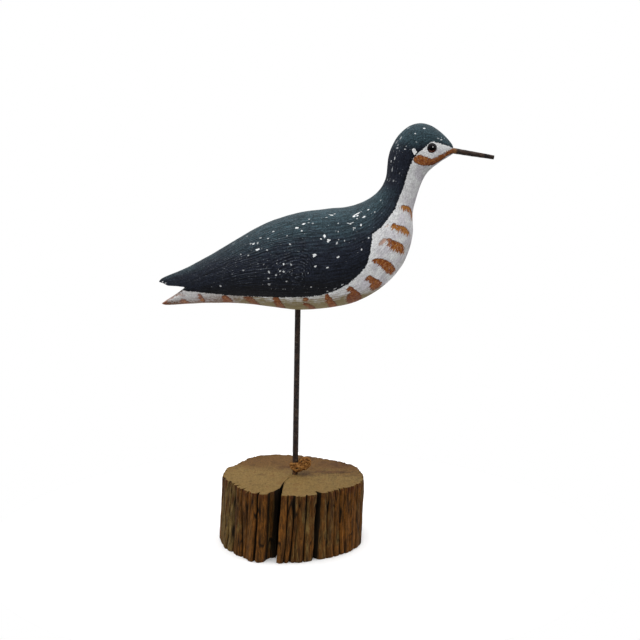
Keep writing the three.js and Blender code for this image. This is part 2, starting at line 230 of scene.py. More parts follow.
@dataclass
class Skin:
    """Points and faces of one closed surface, in millimetres."""

    points: Array
    faces: list[list[int]]

    @classmethod
    def through(cls, rings: list[Array], start: Array, end: Array) -> "Skin":
        """Close a stack of rings with a pole at each end.

        Args:
            rings: Rings of equally many points.
            start: The pole before the first ring.
            end: The pole after the last ring.

        Returns:
            The closed surface.
        """
        around = len(rings[0])
        quads = grid_faces(len(rings), around).tolist()
        first, last = len(rings) * around, len(rings) * around + 1
        top = (len(rings) - 1) * around
        caps = []
        for i in range(around):
            after = (i + 1) % around
            caps.append([first, after, i])
            caps.append([last, top + i, top + after])
        return cls(np.vstack([*rings, start, end]), quads + caps)

    def mesh(self, name: str) -> bpy.types.Object:
        """Make the surface an object in metres.

        Args:
            name: The object's name.

        Returns:
            The object.
        """
        data = bpy.data.meshes.new(name)
        data.from_pydata(self.points * MM, [], self.faces)
        data.update()
        return linked(name, data)


def unit(vector: Array) -> Array:
    """A vector or rows of vectors brought to length 1."""
    return vector / np.linalg.norm(vector, axis=-1, keepdims=True)


def across(axis: Array) -> tuple[Array, Array]:
    """Find two directions square to an axis and to each other, anticlockwise about it.

    Args:
        axis: The axis.

    Returns:
        The two directions.
    """
    helper = np.array([0.0, 0.0, 1.0]) if abs(axis[2]) < 0.9 else np.array([1.0, 0.0, 0.0])
    first = unit(np.cross(helper, axis))
    return first, np.cross(axis, first)


def spokes(axis: Array, turn: Array) -> Array:
    """Directions square to an axis, one for each turn about it in radians."""
    first, second = across(axis)
    return np.cos(turn)[:, None] * first + np.sin(turn)[:, None] * second


def evenly(sides: int) -> Array:
    """The turns of points spread evenly round a circle, in radians."""
    return np.arange(sides) / sides * 2 * math.pi


def compass(angles: Array) -> Array:
    """Level directions at some angles in degrees from +X."""
    turn = np.radians(angles)
    return np.column_stack([np.cos(turn), np.sin(turn), np.zeros(len(turn))])


def turned(profile: Array, sides: int, origin: Array, axis: Array) -> Skin:
    """Turn a profile round an axis.

    Args:
        profile: Rows of height and radius. The first and last rows are the poles, with radius 0.
        sides: Points round the axis.
        origin: Where the height is 0.
        axis: Direction of the axis.

    Returns:
        The closed surface.
    """
    outwards = spokes(axis, evenly(sides))
    rings = [origin + height * axis + radius * outwards for height, radius in profile[1:-1]]
    return Skin.through(rings, origin + profile[0][0] * axis, origin + profile[-1][0] * axis)


def vertex_rows(mesh: bpy.types.Mesh) -> Array:
    """Read a mesh's points.

    Args:
        mesh: The mesh.

    Returns:
        Rows of three, in millimetres.
    """
    rows = np.empty(len(mesh.vertices) * 3)
    mesh.vertices.foreach_get("co", rows)
    return rows.reshape(-1, 3) * PER_METRE


def normal_rows(mesh: bpy.types.Mesh) -> Array:
    """Read the normals at a mesh's points.

    Args:
        mesh: The mesh.

    Returns:
        Rows of three.
    """
    rows = np.empty(len(mesh.vertices) * 3)
    mesh.vertex_normals.foreach_get("vector", rows)
    return rows.reshape(-1, 3)


def store(mesh: bpy.types.Mesh, name: str, values: Array, domain: str = "POINT") -> None:
    """Keep a number or a vector for each point or corner of a mesh.

    Args:
        mesh: The mesh.
        name: The attribute's name.
        values: One number or one row of three for each element.
        domain: POINT or CORNER.
    """
    if values.ndim == 1:
        mesh.attributes.new(name, "FLOAT", domain).data.foreach_set("value", values.astype(np.float32))
    else:
        attribute = mesh.attributes.new(name, "FLOAT_VECTOR", domain)
        attribute.data.foreach_set("vector", values.astype(np.float32).ravel())


def shade(piece: bpy.types.Object, sharp_degrees: float) -> None:
    """Shade a piece smooth, apart from its edges sharper than an angle."""
    piece.data.shade_smooth()
    piece.data.set_sharp_from_angle(angle=math.radians(sharp_degrees))


def hand_over(
    piece: bpy.types.Object, material: bpy.types.Material, slot: Slot, *nodes: str
) -> bpy.types.Object:
    """Give a finished piece its material and tie it to the frame.

    Args:
        piece: The piece, in place.
        material: Its finish.
        slot: Not used.
        nodes: The solids that it stands for.

    Returns:
        The same piece.
    """
    piece.data.materials.clear()
    piece.data.materials.append(material)
    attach(piece, "root")
    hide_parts(*nodes)
    log.info("%s: %d points, %d faces", piece.name, len(piece.data.vertices), len(piece.data.polygons))
    return piece


class Nodes:
    """Adds nodes to one tree and links them."""

    def __init__(self, tree: bpy.types.NodeTree) -> None:
        """Take the tree that is added to."""
        self.tree = tree

    def add(
        self, kind: str, inputs: dict[str | int, Value] | None = None, **settings: object
    ) -> bpy.types.Node:
        """Add one node.

        Args:
            kind: The node's type.
            inputs: What each named or numbered input gets: a socket, a number or a colour.
            settings: The node's own properties.

        Returns:
            The node.
        """
        node = self.tree.nodes.new(kind)
        for key, setting in settings.items():
            setattr(node, key, setting)
        for key, value in (inputs or {}).items():
            if isinstance(value, bpy.types.NodeSocket):
                self.tree.links.new(value, node.inputs[key])
            else:
                is_colour = node.inputs[key].type == "RGBA"
                node.inputs[key].default_value = (*value, 1.0) if is_colour else value
        return node

    def math(self, operation: str, a: Value, b: Value = 0.0, c: Value = 0.0) -> Socket:
        """One sum of numbers, such as ADD or MULTIPLY_ADD."""
        return self.add("ShaderNodeMath", {0: a, 1: b, 2: c}, operation=operation).outputs[0]

    def vector(self, operation: str, a: Value, b: Value = (0.0, 0.0, 0.0)) -> bpy.types.Node:
        """One sum of vectors, such as ADD or LENGTH."""
        return self.add("ShaderNodeVectorMath", {0: a, 1: b}, operation=operation)

    def sized(self, vector: Value, factor: Value) -> Socket:
        """A vector or a colour multiplied by a number."""
        inputs = {0: vector, "Scale": factor}
        return self.add("ShaderNodeVectorMath", inputs, operation="SCALE").outputs[0]


class Bench(Nodes):
    """Mixes one material or world."""

    def __init__(self, owner: bpy.types.Material | bpy.types.World) -> None:
        """Start with an empty tree.

        Args:
            owner: The new material or world.
        """
        owner.use_nodes = True
        super().__init__(owner.node_tree)
        self.owner = owner
        self.tree.nodes.clear()

    def times(self, a: Value, b: Value) -> Socket:
        """The product of two numbers."""
        return self.math("MULTIPLY", a, b)

    def plus(self, a: Value, b: Value) -> Socket:
        """The sum of two numbers."""
        return self.math("ADD", a, b)

    def line(self, value: Value, slope: Value, start: Value) -> Socket:
        """A number multiplied by a slope and added to a start."""
        return self.math("MULTIPLY_ADD", value, slope, start)

    def millimetres(self) -> Socket:
        """The place on the object, in millimetres."""
        place = self.add("ShaderNodeTexCoord").outputs["Object"]
        return self.scaled(place, (PER_METRE,) * 3)

    def scaled(self, vector: Socket, scale: Colour, shift: Colour = (0.0, 0.0, 0.0)) -> Socket:
        """A vector multiplied by three numbers and moved."""
        inputs = {"Vector": vector, "Scale": scale, "Location": shift}
        return self.add("ShaderNodeMapping", inputs).outputs[0]

    def moved(self, vector: Socket, shift: Colour) -> Socket:
        """A vector moved by three numbers, which starts a noise elsewhere."""
        return self.scaled(vector, (1.0, 1.0, 1.0), shift)

    def number(self, name: str) -> Socket:
        """A number kept on the mesh."""
        return self.add("ShaderNodeAttribute", attribute_name=name).outputs["Fac"]

    def row(self, name: str) -> Socket:
        """A vector kept on the mesh."""
        return self.add("ShaderNodeAttribute", attribute_name=name).outputs["Vector"]

    def parts(self, vector: Socket) -> list[Socket]:
        """The three numbers of a vector."""
        return list(self.add("ShaderNodeSeparateXYZ", {0: vector}).outputs)

    def noise(self, vector: Socket, scale: float, detail: float = 2.0, roughness: float = 0.5) -> Socket:
        """Cloudy noise from 0 to 1, mostly near 0.5.

        Args:
            vector: Where to read it.
            scale: Clouds for each unit of the vector.
            detail: Number of finer layers.
            roughness: Strength of the finer layers.

        Returns:
            The noise.
        """
        inputs = {"Vector": vector, "Scale": scale, "Detail": detail, "Roughness": roughness}
        return self.add("ShaderNodeTexNoise", inputs).outputs[0]

    def ease(
        self, value: Value, low: float, high: float, start: float = 0.0, end: float = 1.0
    ) -> Socket:
        """A value eased from start, where it is low, to end, where it is high."""
        inputs = {"Value": value, 1: low, 2: high, 3: start, 4: end}
        return self.add("ShaderNodeMapRange", inputs, interpolation_type="SMOOTHSTEP").outputs[0]

    def blend(self, share: Value, first: Value, second: Value) -> Socket:
        """Mix two colours.

        Args:
            share: How much of the second, from 0 to 1.
            first: The colour at 0.
            second: The colour at 1.

        Returns:
            The colour between them.
        """
        node = self.add("ShaderNodeMix", data_type="RGBA")
        for number, value in ((0, share), (6, first), (7, second)):
            if isinstance(value, bpy.types.NodeSocket):
                self.tree.links.new(value, node.inputs[number])
            else:
                node.inputs[number].default_value = value if number == 0 else (*value, 1.0)
        return node.outputs[2]

    def bump(self, height_mm: Socket, strength: float = 1.0) -> Socket:
        """The normal of a surface with a relief given in millimetres."""
        inputs = {"Height": height_mm, "Distance": MM, "Strength": strength}
        return self.add("ShaderNodeBump", inputs).outputs[0]

    def finish(self, inputs: dict[str | int, Value]) -> bpy.types.Material:
        """Close the tree with one shader.

        Args:
            inputs: The shader's inputs.

        Returns:
            The finished material.
        """
        shader = self.add("ShaderNodeBsdfPrincipled", inputs)
        self.add("ShaderNodeOutputMaterial", {"Surface": shader.outputs[0]})
        return self.owner


# The viewer and the studio


@dataclass(frozen=True)
class Viewpoint:
    """Where the object is seen from, and how sight lines meet the bird's middle plane."""

    target: Triple = (23.1, 0.0, 195.9)
    distance: float = 1200.0
    pitch_degrees: float = 10.8
    lens: float = 78.47
    sensor: float = 36.0

    @property
    def eye(self) -> Array:
        """The viewer's place."""
        pitch = math.radians(self.pitch_degrees)
        return np.array(self.target) + self.distance * np.array([0.0, -math.cos(pitch), math.sin(pitch)])

    def side_view(self, points: Array) -> Array:
        """Where the sight lines through points meet the plane Y = 0, as X and Z.

        The far side is looked at from the mirrored place, so that both sides match.

        Args:
            points: Places on the bird.

        Returns:
            Rows of X and Z.
        """
        eye = self.eye
        share = eye[1] / (eye[1] + np.abs(points[:, 1]))
        flat = points[:, [0, 2]] - eye[[0, 2]]
        return eye[[0, 2]] + flat * share[:, None]

    def place_camera(self) -> None:
        """Put the scene's camera at the viewpoint."""
        data = bpy.data.cameras.new("viewpoint")
        data.lens = self.lens
        data.sensor_width = self.sensor
        data.clip_start = 0.05
        data.clip_end = 50.0
        camera = linked("viewpoint", data)
        camera.location = Vector(self.eye * MM)
        towards = Vector(np.array(self.target) * MM) - camera.location
        camera.rotation_euler = towards.to_track_quat("-Z", "Y").to_euler()
        bpy.context.scene.camera = camera


@dataclass(frozen=True)
class Studio:
    """A pale round board in a white tent: light from above, less from the front, little from below."""

    floor_radius: float = 0.27
    floor_sides: int = 96
    floor_drop: float = 0.0002
    floor_colour: Colour = (0.93, 0.93, 0.93)
    zenith: float = 2.3
    horizon: float = 0.9
    nadir: float = 0.12
    front: float = 0.35
    lamp_size: float = 0.7
    lamp_place: Triple = (-0.15, -1.35, 1.35)
    lamp_power: float = 11.0
    spark_size: float = 0.26
    spark_place: Triple = (0.81, -1.11, 0.39)
    spark_power: float = 9.0
    lit_point: Triple = (0.02, 0.0, 0.2)

    def build(self, eyes: list[bpy.types.Object]) -> None:
        """Make the floor, the surroundings and the lamps.

        Args:
            eyes: The glass eyes, which get a spark.
        """
        self.lay_floor()
        self.light_surroundings()
        self.hang_lamps(eyes)
        bpy.context.scene.view_settings.view_transform = "Standard"

    def lay_floor(self) -> None:
        """Lay a plain pale board just under the log."""
        rim = compass(np.degrees(evenly(self.floor_sides))) * self.floor_radius
        data = bpy.data.meshes.new("floor")
        data.from_pydata(rim - np.array([0, 0, self.floor_drop]), [], [list(range(self.floor_sides))])
        floor = linked("floor", data)
        bench = Bench(bpy.data.materials.new("pale_floor"))
        data.materials.append(bench.finish({"Base Color": self.floor_colour, "Roughness": 0.9}))
        floor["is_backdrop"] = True

    def light_surroundings(self) -> None:
        """Light the scene from all round, most from above, and show white behind the object."""
        bench = Bench(bpy.data.worlds.new("studio"))
        _, y, z = bench.parts(bench.add("ShaderNodeTexCoord").outputs["Generated"])
        above = bench.ease(z, 0.0, 0.9, self.horizon, self.zenith)
        share = bench.ease(z, -0.35, 0.0, self.nadir / self.horizon, 1.0)
        level = bench.times(bench.times(above, share), bench.ease(y, -0.9, -0.2, self.front, 1.0))
        lit = bench.add("ShaderNodeBackground", {"Strength": level})
        seen = bench.add("ShaderNodeBackground", {"Color": (1.0, 1.0, 1.0)})
        is_seen = bench.add("ShaderNodeLightPath").outputs["Is Camera Ray"]
        chosen = bench.add("ShaderNodeMixShader", {0: is_seen, 1: lit.outputs[0], 2: seen.outputs[0]})
        bench.add("ShaderNodeOutputWorld", {"Surface": chosen.outputs[0]})
        bpy.context.scene.world = bench.owner

    def hang_lamps(self, eyes: list[bpy.types.Object]) -> None:
        """Hang the soft lamp over the front, and one that only puts a spark on the glass eyes.

        Args:
            eyes: The glass eyes.
        """
        soft = self.hang("soft_lamp", self.lamp_size, self.lamp_power, self.lamp_place)
        soft.visible_glossy = False
        spark = self.hang("spark_lamp", self.spark_size, self.spark_power, self.spark_place)
        spark.visible_diffuse = False
        lit = bpy.data.collections.new("eyes")
        for eye in eyes:
            lit.objects.link(eye)
        spark.light_linking.receiver_collection = lit

    def hang(self, name: str, size: float, power: float, place: Triple) -> bpy.types.Object:
        """Hang one round lamp that shines at the object.

        Args:
            name: Its name.
            size: Its diameter in metres.
            power: Its power in watts.
            place: Where it hangs, in metres.

        Returns:
            The lamp.
        """
        data = bpy.data.lights.new(name, "AREA")
        data.shape = "DISK"
        data.size = size
        data.energy = power
        lamp = linked(name, data)
        lamp.location = place
        towards = Vector(self.lit_point) - lamp.location
        lamp.rotation_euler = towards.to_track_quat("-Z", "Y").to_euler()
        return lamp


# Marks of paint, drawn as the viewer sees them on the bird's middle plane


@dataclass(frozen=True)
class Outline:
    """A closed area of paint, by its corners in X and Z."""

    corners: tuple[Point, ...]
    smooth: bool = False

    def line(self) -> Array:
        """Draw the area's edge, which is a smooth closed curve through the corners of a smooth area.

        Returns:
            Rows of X and Z.
        """
        corners = np.array(self.corners, float)
        if not self.smooth:
            return corners
        count = len(corners)
        padded = np.vstack([corners[-1], corners, corners[:2]])
        return smooth_through(padded, np.linspace(1, count + 1, 5 * count + 1)[:-1] / (count + 2))

    def measure(self, places: Array) -> tuple[Array, Array]:
        """Measure places against the area's edge.

        Args:
            places: Rows of X and Z.

        Returns:
            The distance from the edge, negative outside the area, and how squarely the area's outside
            lies below each place, from -1 to 1.
        """
        corners = self.line()
        inside = np.zeros(len(places), bool)
        nearest = np.full(len(places), np.inf)
        below = np.zeros(len(places))
        for start, end in zip(corners, np.roll(corners, -1, axis=0)):
            along = end - start
            share = np.clip((places - start) @ along / (along @ along), 0, 1)
            away = start + share[:, None] * along - places
            distance = np.linalg.norm(away, axis=1)
            closer = distance < nearest
            nearest = np.where(closer, distance, nearest)
            below = np.where(closer, -away[:, 1] / np.maximum(distance, 1e-9), below)
            crosses = (start[1] > places[:, 1]) != (end[1] > places[:, 1])
            rise = along[1] if along[1] != 0 else 1.0
            inside ^= crosses & (places[:, 0] < start[0] + (places[:, 1] - start[1]) / rise * along[0])
        sign = np.where(inside, 1.0, -1.0)
        return sign * nearest, sign * below


@dataclass(frozen=True)
class Bar:
    """A bar of rust paint: its outline, from deep (0) to light (1), how thick, ragged and golden it is.

    Paint gathers in a dark rim along the upper edge, or along the lower one where rim is -1.
    """

    corners: tuple[Point, ...]
    tone: float = 0.5
    cover: float = 1.0
    ragged: float = 1.0
    rim: float = 1.0
    gold: float = 0.0


CAPE_EDGE: tuple[Point, ...] = (
    (135.5, 343), (131, 344.4), (127.4, 345.6), (122, 347.6), (119, 348.3), (116, 348), (113.8, 346.2),
    (111.8, 344), (108.4, 341), (105, 338), (102, 335.2), (101, 333), (99, 327.8), (97, 321.4),
    (94.8, 313.9), (92.8, 307.8), (90.5, 302.4), (87, 291.8), (80.5, 282.7), (75.2, 275.8), (68, 270.5),
    (67.6, 266), (67, 260.5), (66, 254.5), (64.4, 248), (62.3, 242), (58.4, 237.5), (53.8, 233.3),
    (47.3, 227.3), (36.6, 221.5), (25.1, 217.8), (15.8, 216.1), (3.3, 215.6), (-15.4, 215.7),
    (-37.2, 216.4), (-60.1, 217.8), (-72.3, 219), (-82, 220.2), (-93.4, 221.6), (-97.5, 222.3),
    (-104, 220.5), (-109, 219.5), (-130, 219),
)
BEYOND_THE_BIRD: tuple[Point, ...] = ((-130, 420), (160, 420), (160, 343.2))
EAR_SPOT = Outline((
    (100.6, 341.3), (101.2, 342.8), (102.3, 343.1), (103.2, 341.8), (104.8, 340), (103.8, 338.4),
    (102.3, 337.4), (101.1, 339),
))

BARS: tuple[Bar, ...] = (
    Bar(((101.4, 334), (103.9, 336.6), (106.4, 337.5), (109.8, 336.8), (113.2, 335.5), (115.7, 334.4),
         (118.2, 334.5), (121.6, 336), (124.9, 337.7), (128.3, 339.4), (131.7, 341.5), (134.5, 342.8),
         (139, 342.8), (139, 338), (134.2, 338.3), (130.8, 336.7), (126.6, 333.9), (122.4, 331),
         (118.2, 329), (114, 328.2), (109.8, 328.2), (105.6, 329.4), (102.2, 331.5)),
        0.36, 1, 0.4, -1, 0.2),
    Bar(((91.5, 294), (94, 295), (98.5, 294), (100.5, 291), (101.5, 286.5), (100.5, 282),
         (99.5, 287.5), (97, 289), (95.5, 290.5), (93, 290.5)), 0.74, 1, 1.2, 1, 0.6),
    Bar(((83, 276), (84, 278.5), (86, 279.5), (90, 278), (95.5, 276.5), (98.5, 273), (99.5, 270),
         (97, 268.5), (92, 271.5), (88, 272.5), (84.5, 274)), 0.74, 1, 1.3, 1, 0.6),
    Bar(((78, 276), (79, 278), (81, 279), (81, 277.5)), 0.9, 0.5),
    Bar(((76, 266), (78.5, 267), (80, 265.5), (78.5, 263), (75.5, 260.5), (73, 260.5), (73.5, 263)),
        0.7, 0.65, 0.7),
    Bar(((79.5, 266), (82, 267), (84.5, 265.5), (84, 262), (82, 259.5), (80, 260), (80.5, 263)),
        0.4, 0.95, 0.7),
    Bar(((83.5, 263.5), (85, 265), (89, 264), (93.5, 261.5), (95, 257.5), (94.5, 253), (91.5, 253),
         (88, 254.5), (83.5, 256.5), (83, 259)), 0.46, 1, 1.3, 1, 0.4),
    Bar(((67.5, 246.5), (69, 249), (74, 249.5), (80, 248), (85, 244.5), (87.5, 240), (86, 236.5),
         (83.5, 235), (78.5, 237.5), (75.5, 241.5), (72, 244)), 0.3, 1, 1, 1, 0.4),
    Bar(((61.5, 231), (65, 235), (68.5, 233.5), (76, 229), (75, 225.5), (70, 221.5), (65, 224),
         (66.5, 227.5), (64, 229.5)), 0.28, 1, 1, 1, 0.4),
    Bar(((45.5, 223), (49, 225.5), (53, 223), (58.5, 218), (57.5, 213), (53, 208), (48, 209),
         (45.5, 215), (47, 218), (48.5, 220), (46, 221)), 0.12, 1, 1, 1, 0.5),
    Bar(((27.5, 219), (29, 219.5), (34, 214), (38.5, 207.5), (36, 204.5), (31, 206.5), (27.5, 214)),
        0.3, 1, 1, 1, 0.4),
    Bar(((8, 214.5), (11, 216), (13.5, 214.5), (13, 212), (9, 212.5)), 0.3, 1, 1, 1, 0.5),
    Bar(((8, 211), (13.5, 210.5), (19.5, 206.5), (17.5, 203.5), (11, 207.5)), 0.25, 1, 1, 1, 0.6),
    Bar(((-17.5, 216), (-13.5, 217), (-10, 212), (-6, 205), (-12, 204), (-16, 210)),
        0.22, 1, 0.8, 1, 0.5),
    Bar(((-43, 216), (-36, 216.5), (-31, 212), (-26, 207.5), (-33, 207), (-39, 212)),
        0.2, 0.95, 1, 1, 0.6),
    Bar(((-61, 217), (-57, 217.5), (-52, 213), (-52, 211), (-60, 211)), 0.22, 0.95, 1.2, 1, 0.6),
    Bar(((-82, 218.5), (-79, 218.5), (-76, 214), (-76, 211), (-80.5, 213)), 0.28, 0.85, 1.2, 1, 0.5),
    Bar(((-98, 212), (-95, 214.5), (-90, 212.5), (-89, 210), (-95, 209.5)), 0.28, 0.8, 1.2, 1, 0.5),
    Bar(((-101, 219.5), (-97.5, 220), (-93, 217.5), (-97, 217)), 0.4, 0.5, 1.5),
    Bar(((-113.5, 210), (-107.5, 215.3), (-95, 222.5), (-92.5, 223.5), (-97, 220), (-105.5, 213.8),
         (-107.5, 211.3), (-105, 208.5)), 0.15, 0.8),
)


@dataclass(frozen=True)
class Fleck:
    """A spot of pale paint on the dark: its place, length, width and tilt, as the viewer sees it."""

    x: float
    z: float
    length: float
    width: float
    tilt: float = 0.0
    pale: float = 1.0


FLECKS: tuple[Fleck, ...] = tuple(Fleck(*row) for row in (
    (-30, 257, 4, 2, 20), (-33.5, 262, 2.7, 1.5, 25, 0.8), (-36, 262, 1.8, 1.5, 0, 0.5),
    (-30, 262.5, 2.5, 1.5, 90, 0.4), (-27.5, 267, 2.5, 1.5, 10, 0.35), (-21, 266.5, 1.7, 1.3, 0, 0.65),
    (-16.5, 272.5, 2.4, 1.3, 0, 0.55), (-5, 269, 1.5, 1.3, 0, 0.45), (-2.5, 261.5, 1.8, 1.3, 0, 0.6),
    (3.5, 275.5, 3, 1.7), (7.5, 273, 1.8, 1.7, -50, 0.6), (9.5, 279, 3.2, 1.5, 30),
    (-44.5, 253, 1.8, 1.3, 0, 0.35), (-38, 252, 1.8, 1.5, 0, 0.4), (-22, 256.5, 2, 1.3, 0, 0.6),
    (-42.5, 239, 2, 1.2, 0, 0.5), (-50.5, 262, 4.2, 0.8, 35, 0.35), (-39, 268.5, 1.3, 1.2, 0, 0.45),
    (-8, 244.5, 2, 1.5, 90, 0.75), (-1.5, 244, 1.5, 1.2, 0, 0.5), (-20.5, 237.5, 2.7, 1.5, 110, 0.65),
    (-11, 238.5, 1.7, 1.3, 45, 0.8), (-8, 238, 2, 1.7, 0, 0.7), (-14.5, 235, 1.8, 1.5, 0, 0.6),
    (-21, 232, 1.5, 1.3, 0, 0.8), (-20.5, 227, 2.5, 2.2, 0, 0.3), (-5.5, 229.5, 1.8, 1.2, 20, 0.5),
    (18.5, 252.5, 3.5, 1.8), (18, 251.5, 2.2, 2), (38.5, 250.5, 3, 1.5, 30, 0.95),
    (19, 242.5, 2.4, 1.5, 15, 0.9), (29.5, 241.5, 2.2, 1.3, 15, 0.85), (15.5, 224.5, 1.3, 1.3, 0, 0.5),
    (-62, 225.5, 1.7, 1.5, 0, 0.55), (27, 268.5, 3, 2.4, 90, 0.95), (24, 266, 1.7, 1.3, 0, 0.85),
    (30.5, 265, 3.2, 1.8, 0, 0.95), (30, 264, 2, 1.7, 0, 0.95), (37.5, 262.5, 2.7, 1.3, 60, 0.6),
    (58.5, 257, 1.7, 1.2, 90, 0.8), (64.5, 267, 1.3, 1.3, 0, 0.85), (58, 278, 2, 1.5, 90, 0.9),
    (54.5, 287.5, 8, 1.2, 40), (52, 285.5, 2.7, 1.8, 10), (55, 286, 2.5, 1.5, 20, 0.9),
    (60.5, 285, 3.2, 1.4, 35, 0.95), (54.5, 283.5, 1.5, 1.2, 0, 0.5), (64, 291, 2, 1.2, 25, 0.75),
    (47, 279.5, 2.9, 0.8, -28, 0.6), (49, 279, 1.7, 1.2, 0, 0.75), (50.5, 280, 3, 0.8, 25, 0.6),
    (52, 275.5, 2.9, 0.8, -8, 0.65), (51.5, 274, 1.3, 0.9, 90, 0.45), (33, 286.5, 3, 1.3, -14, 0.9),
    (31, 287, 2, 0.8, -20, 0.5), (35.5, 287.5, 1.8, 1.3, 20, 0.6), (14, 283, 1.7, 1.1, 0, 0.7),
    (13.5, 280, 2, 1, 0, 0.35), (17, 279.5, 1.7, 1.2, 0, 0.4), (28.5, 284.5, 1.8, 1, 0, 0.45),
    (38.5, 279.5, 1.3, 1.3, 0, 0.45), (38.5, 272.5, 1.5, 1.1, 90, 0.5), (39, 265.5, 1.3, 1, 0, 0.4),
    (44, 264.5, 1.5, 1.1, 90, 0.5), (110.5, 359.5, 2.4, 1.1, 0, 0.85), (103, 355, 1.7, 1.2, 0, 0.7),
    (104, 348, 1.5, 0.8, 0, 0.4), (125, 350, 2.2, 1, 20, 0.75), (122.5, 351, 2.5, 0.7, -10, 0.45),
    (127.5, 351, 2, 0.6, 45, 0.35), (125, 352, 1, 0.8, 90, 0.35), (97, 359.5, 2.5, 1.2, 40, 0.35),
    (91, 351.5, 3.4, 1.2, 65, 0.4), (87.5, 348, 4.2, 0.8, 50, 0.4), (88.5, 345.5, 1.3, 1.2, 0, 0.4),
    (88, 343, 1.7, 1.5, 0, 0.45), (94.5, 342, 1.8, 1.3, 0, 0.45), (95.5, 344.5, 1.2, 1, 0, 0.4),
    (86, 334.5, 3.4, 1.1, 75, 0.65), (83, 332, 2.2, 1.1, 80, 0.6), (84, 325, 4.2, 1.3, 80, 0.35),
    (80, 316.5, 2, 1, 75, 0.3), (85, 315.5, 2, 1.4, 75, 0.3), (74.5, 299, 1.5, 1.3, 0, 0.4),
    (42, 226.5, 2.2, 0.9, 35, 0.7), (36, 223.2, 2.4, 0.8, 25, 0.7), (29.5, 221, 1.8, 0.9, 10, 0.6),
    (69.5, 289, 1.6, 1.2, 60, 0.45), (-111.5, 229.2, 1.8, 1, 20, 0.9), (-109, 228, 1.4, 0.8, 20, 0.8),
))


@dataclass(frozen=True)
class Spatter:
    """Many small flecks strewn over a stretch of the bird, by its box in X and Z."""

    count: int
    low: Point
    high: Point
    length: tuple[float, float]
    width: tuple[float, float]
    tilt: float
    pale: tuple[float, float] = (0.2, 0.75)


SPATTERS: tuple[Spatter, ...] = (
    Spatter(70, (77, 312), (98, 362), (0.8, 2.4), (0.3, 0.7), 70, (0.08, 0.3)),
    Spatter(30, (84, 334), (128, 364), (0.5, 1.3), (0.4, 0.8), 50, (0.1, 0.35)),
    Spatter(40, (28, 262), (68, 297), (0.6, 1.6), (0.4, 0.9), 30, (0.1, 0.35)),
    Spatter(60, (-28, 222), (14, 254), (0.5, 1.6), (0.4, 0.9), 60, (0.1, 0.4)),
    Spatter(30, (-70, 242), (0, 282), (0.6, 1.8), (0.4, 0.8), 22, (0.1, 0.35)),
    Spatter(110, (-100, 220), (62, 292), (0.5, 1.2), (0.4, 0.7), 20, (0.08, 0.3)),
    Spatter(16, (66, 268), (88, 320), (0.5, 1.3), (0.4, 0.8), 55, (0.1, 0.35)),
)


# Finishes


class PaintGround:
    """What the layers of the bird's paint share: places, the marks kept on its mesh, and noises."""

    def __init__(self, bench: Bench, ridge_pitch: float) -> None:
        """Read the marks and make the noises.

        Args:
            bench: Where the material is made.
            ridge_pitch: Distance between two ridges of the grain.
        """
        self.bench = bench
        self.place = bench.millimetres()
        self.flow = bench.row("flow")
        self.cape = bench.number("cape")
        self.depth, self.under, self.tone = bench.parts(bench.row("bars"))
        self.cover, self.ragged, self.gold = bench.parts(bench.row("bar_look"))
        self.cloud = bench.noise(self.place, 0.09, 3)
        self.mottle = bench.noise(self.place, 0.55, 4, 0.7)
        self.speckle = bench.noise(bench.moved(self.place, (9.0, 0.0, 0.0)), 0.8, 3, 0.8)
        self.fray = bench.noise(self.place, 0.85, 3, 0.7)
        self.streak = bench.noise(bench.scaled(self.flow, (0.09, 0.8, 1.0)), 1.0, 3, 0.6)
        self.ridges = self.raised_rings(ridge_pitch)

    def raised_rings(self, pitch: float) -> Socket:
        """Growth rings that stand out under the paint, broken into dashes.

        Args:
            pitch: Distance between two of them.

        Returns:
            Their height, from -1 to 1.
        """
        bench = self.bench
        turn = 2 * math.pi / pitch
        slow = bench.noise(bench.scaled(self.flow, (0.03, 0.09, 1.0)), 1.0, 3)
        _, girth, gain = bench.parts(self.flow)
        reach, share, _ = bench.parts(bench.row("whorl"))
        wave = bench.math("SINE", bench.line(slow, 22.0, bench.times(girth, turn)))
        dashes = bench.times(wave, bench.ease(self.streak, 0.42, 0.56, 0.05, 0.98))
        wave = bench.math("SINE", bench.times(reach, turn))
        patches = bench.noise(bench.moved(self.place, (0.0, 5.0, 2.0)), 0.34, 2, 0.6)
        rings = bench.times(wave, bench.ease(patches, 0.42, 0.56, 0.1, 0.95))
        both = bench.line(bench.math("SUBTRACT", rings, dashes), share, dashes)
        return bench.times(both, gain)


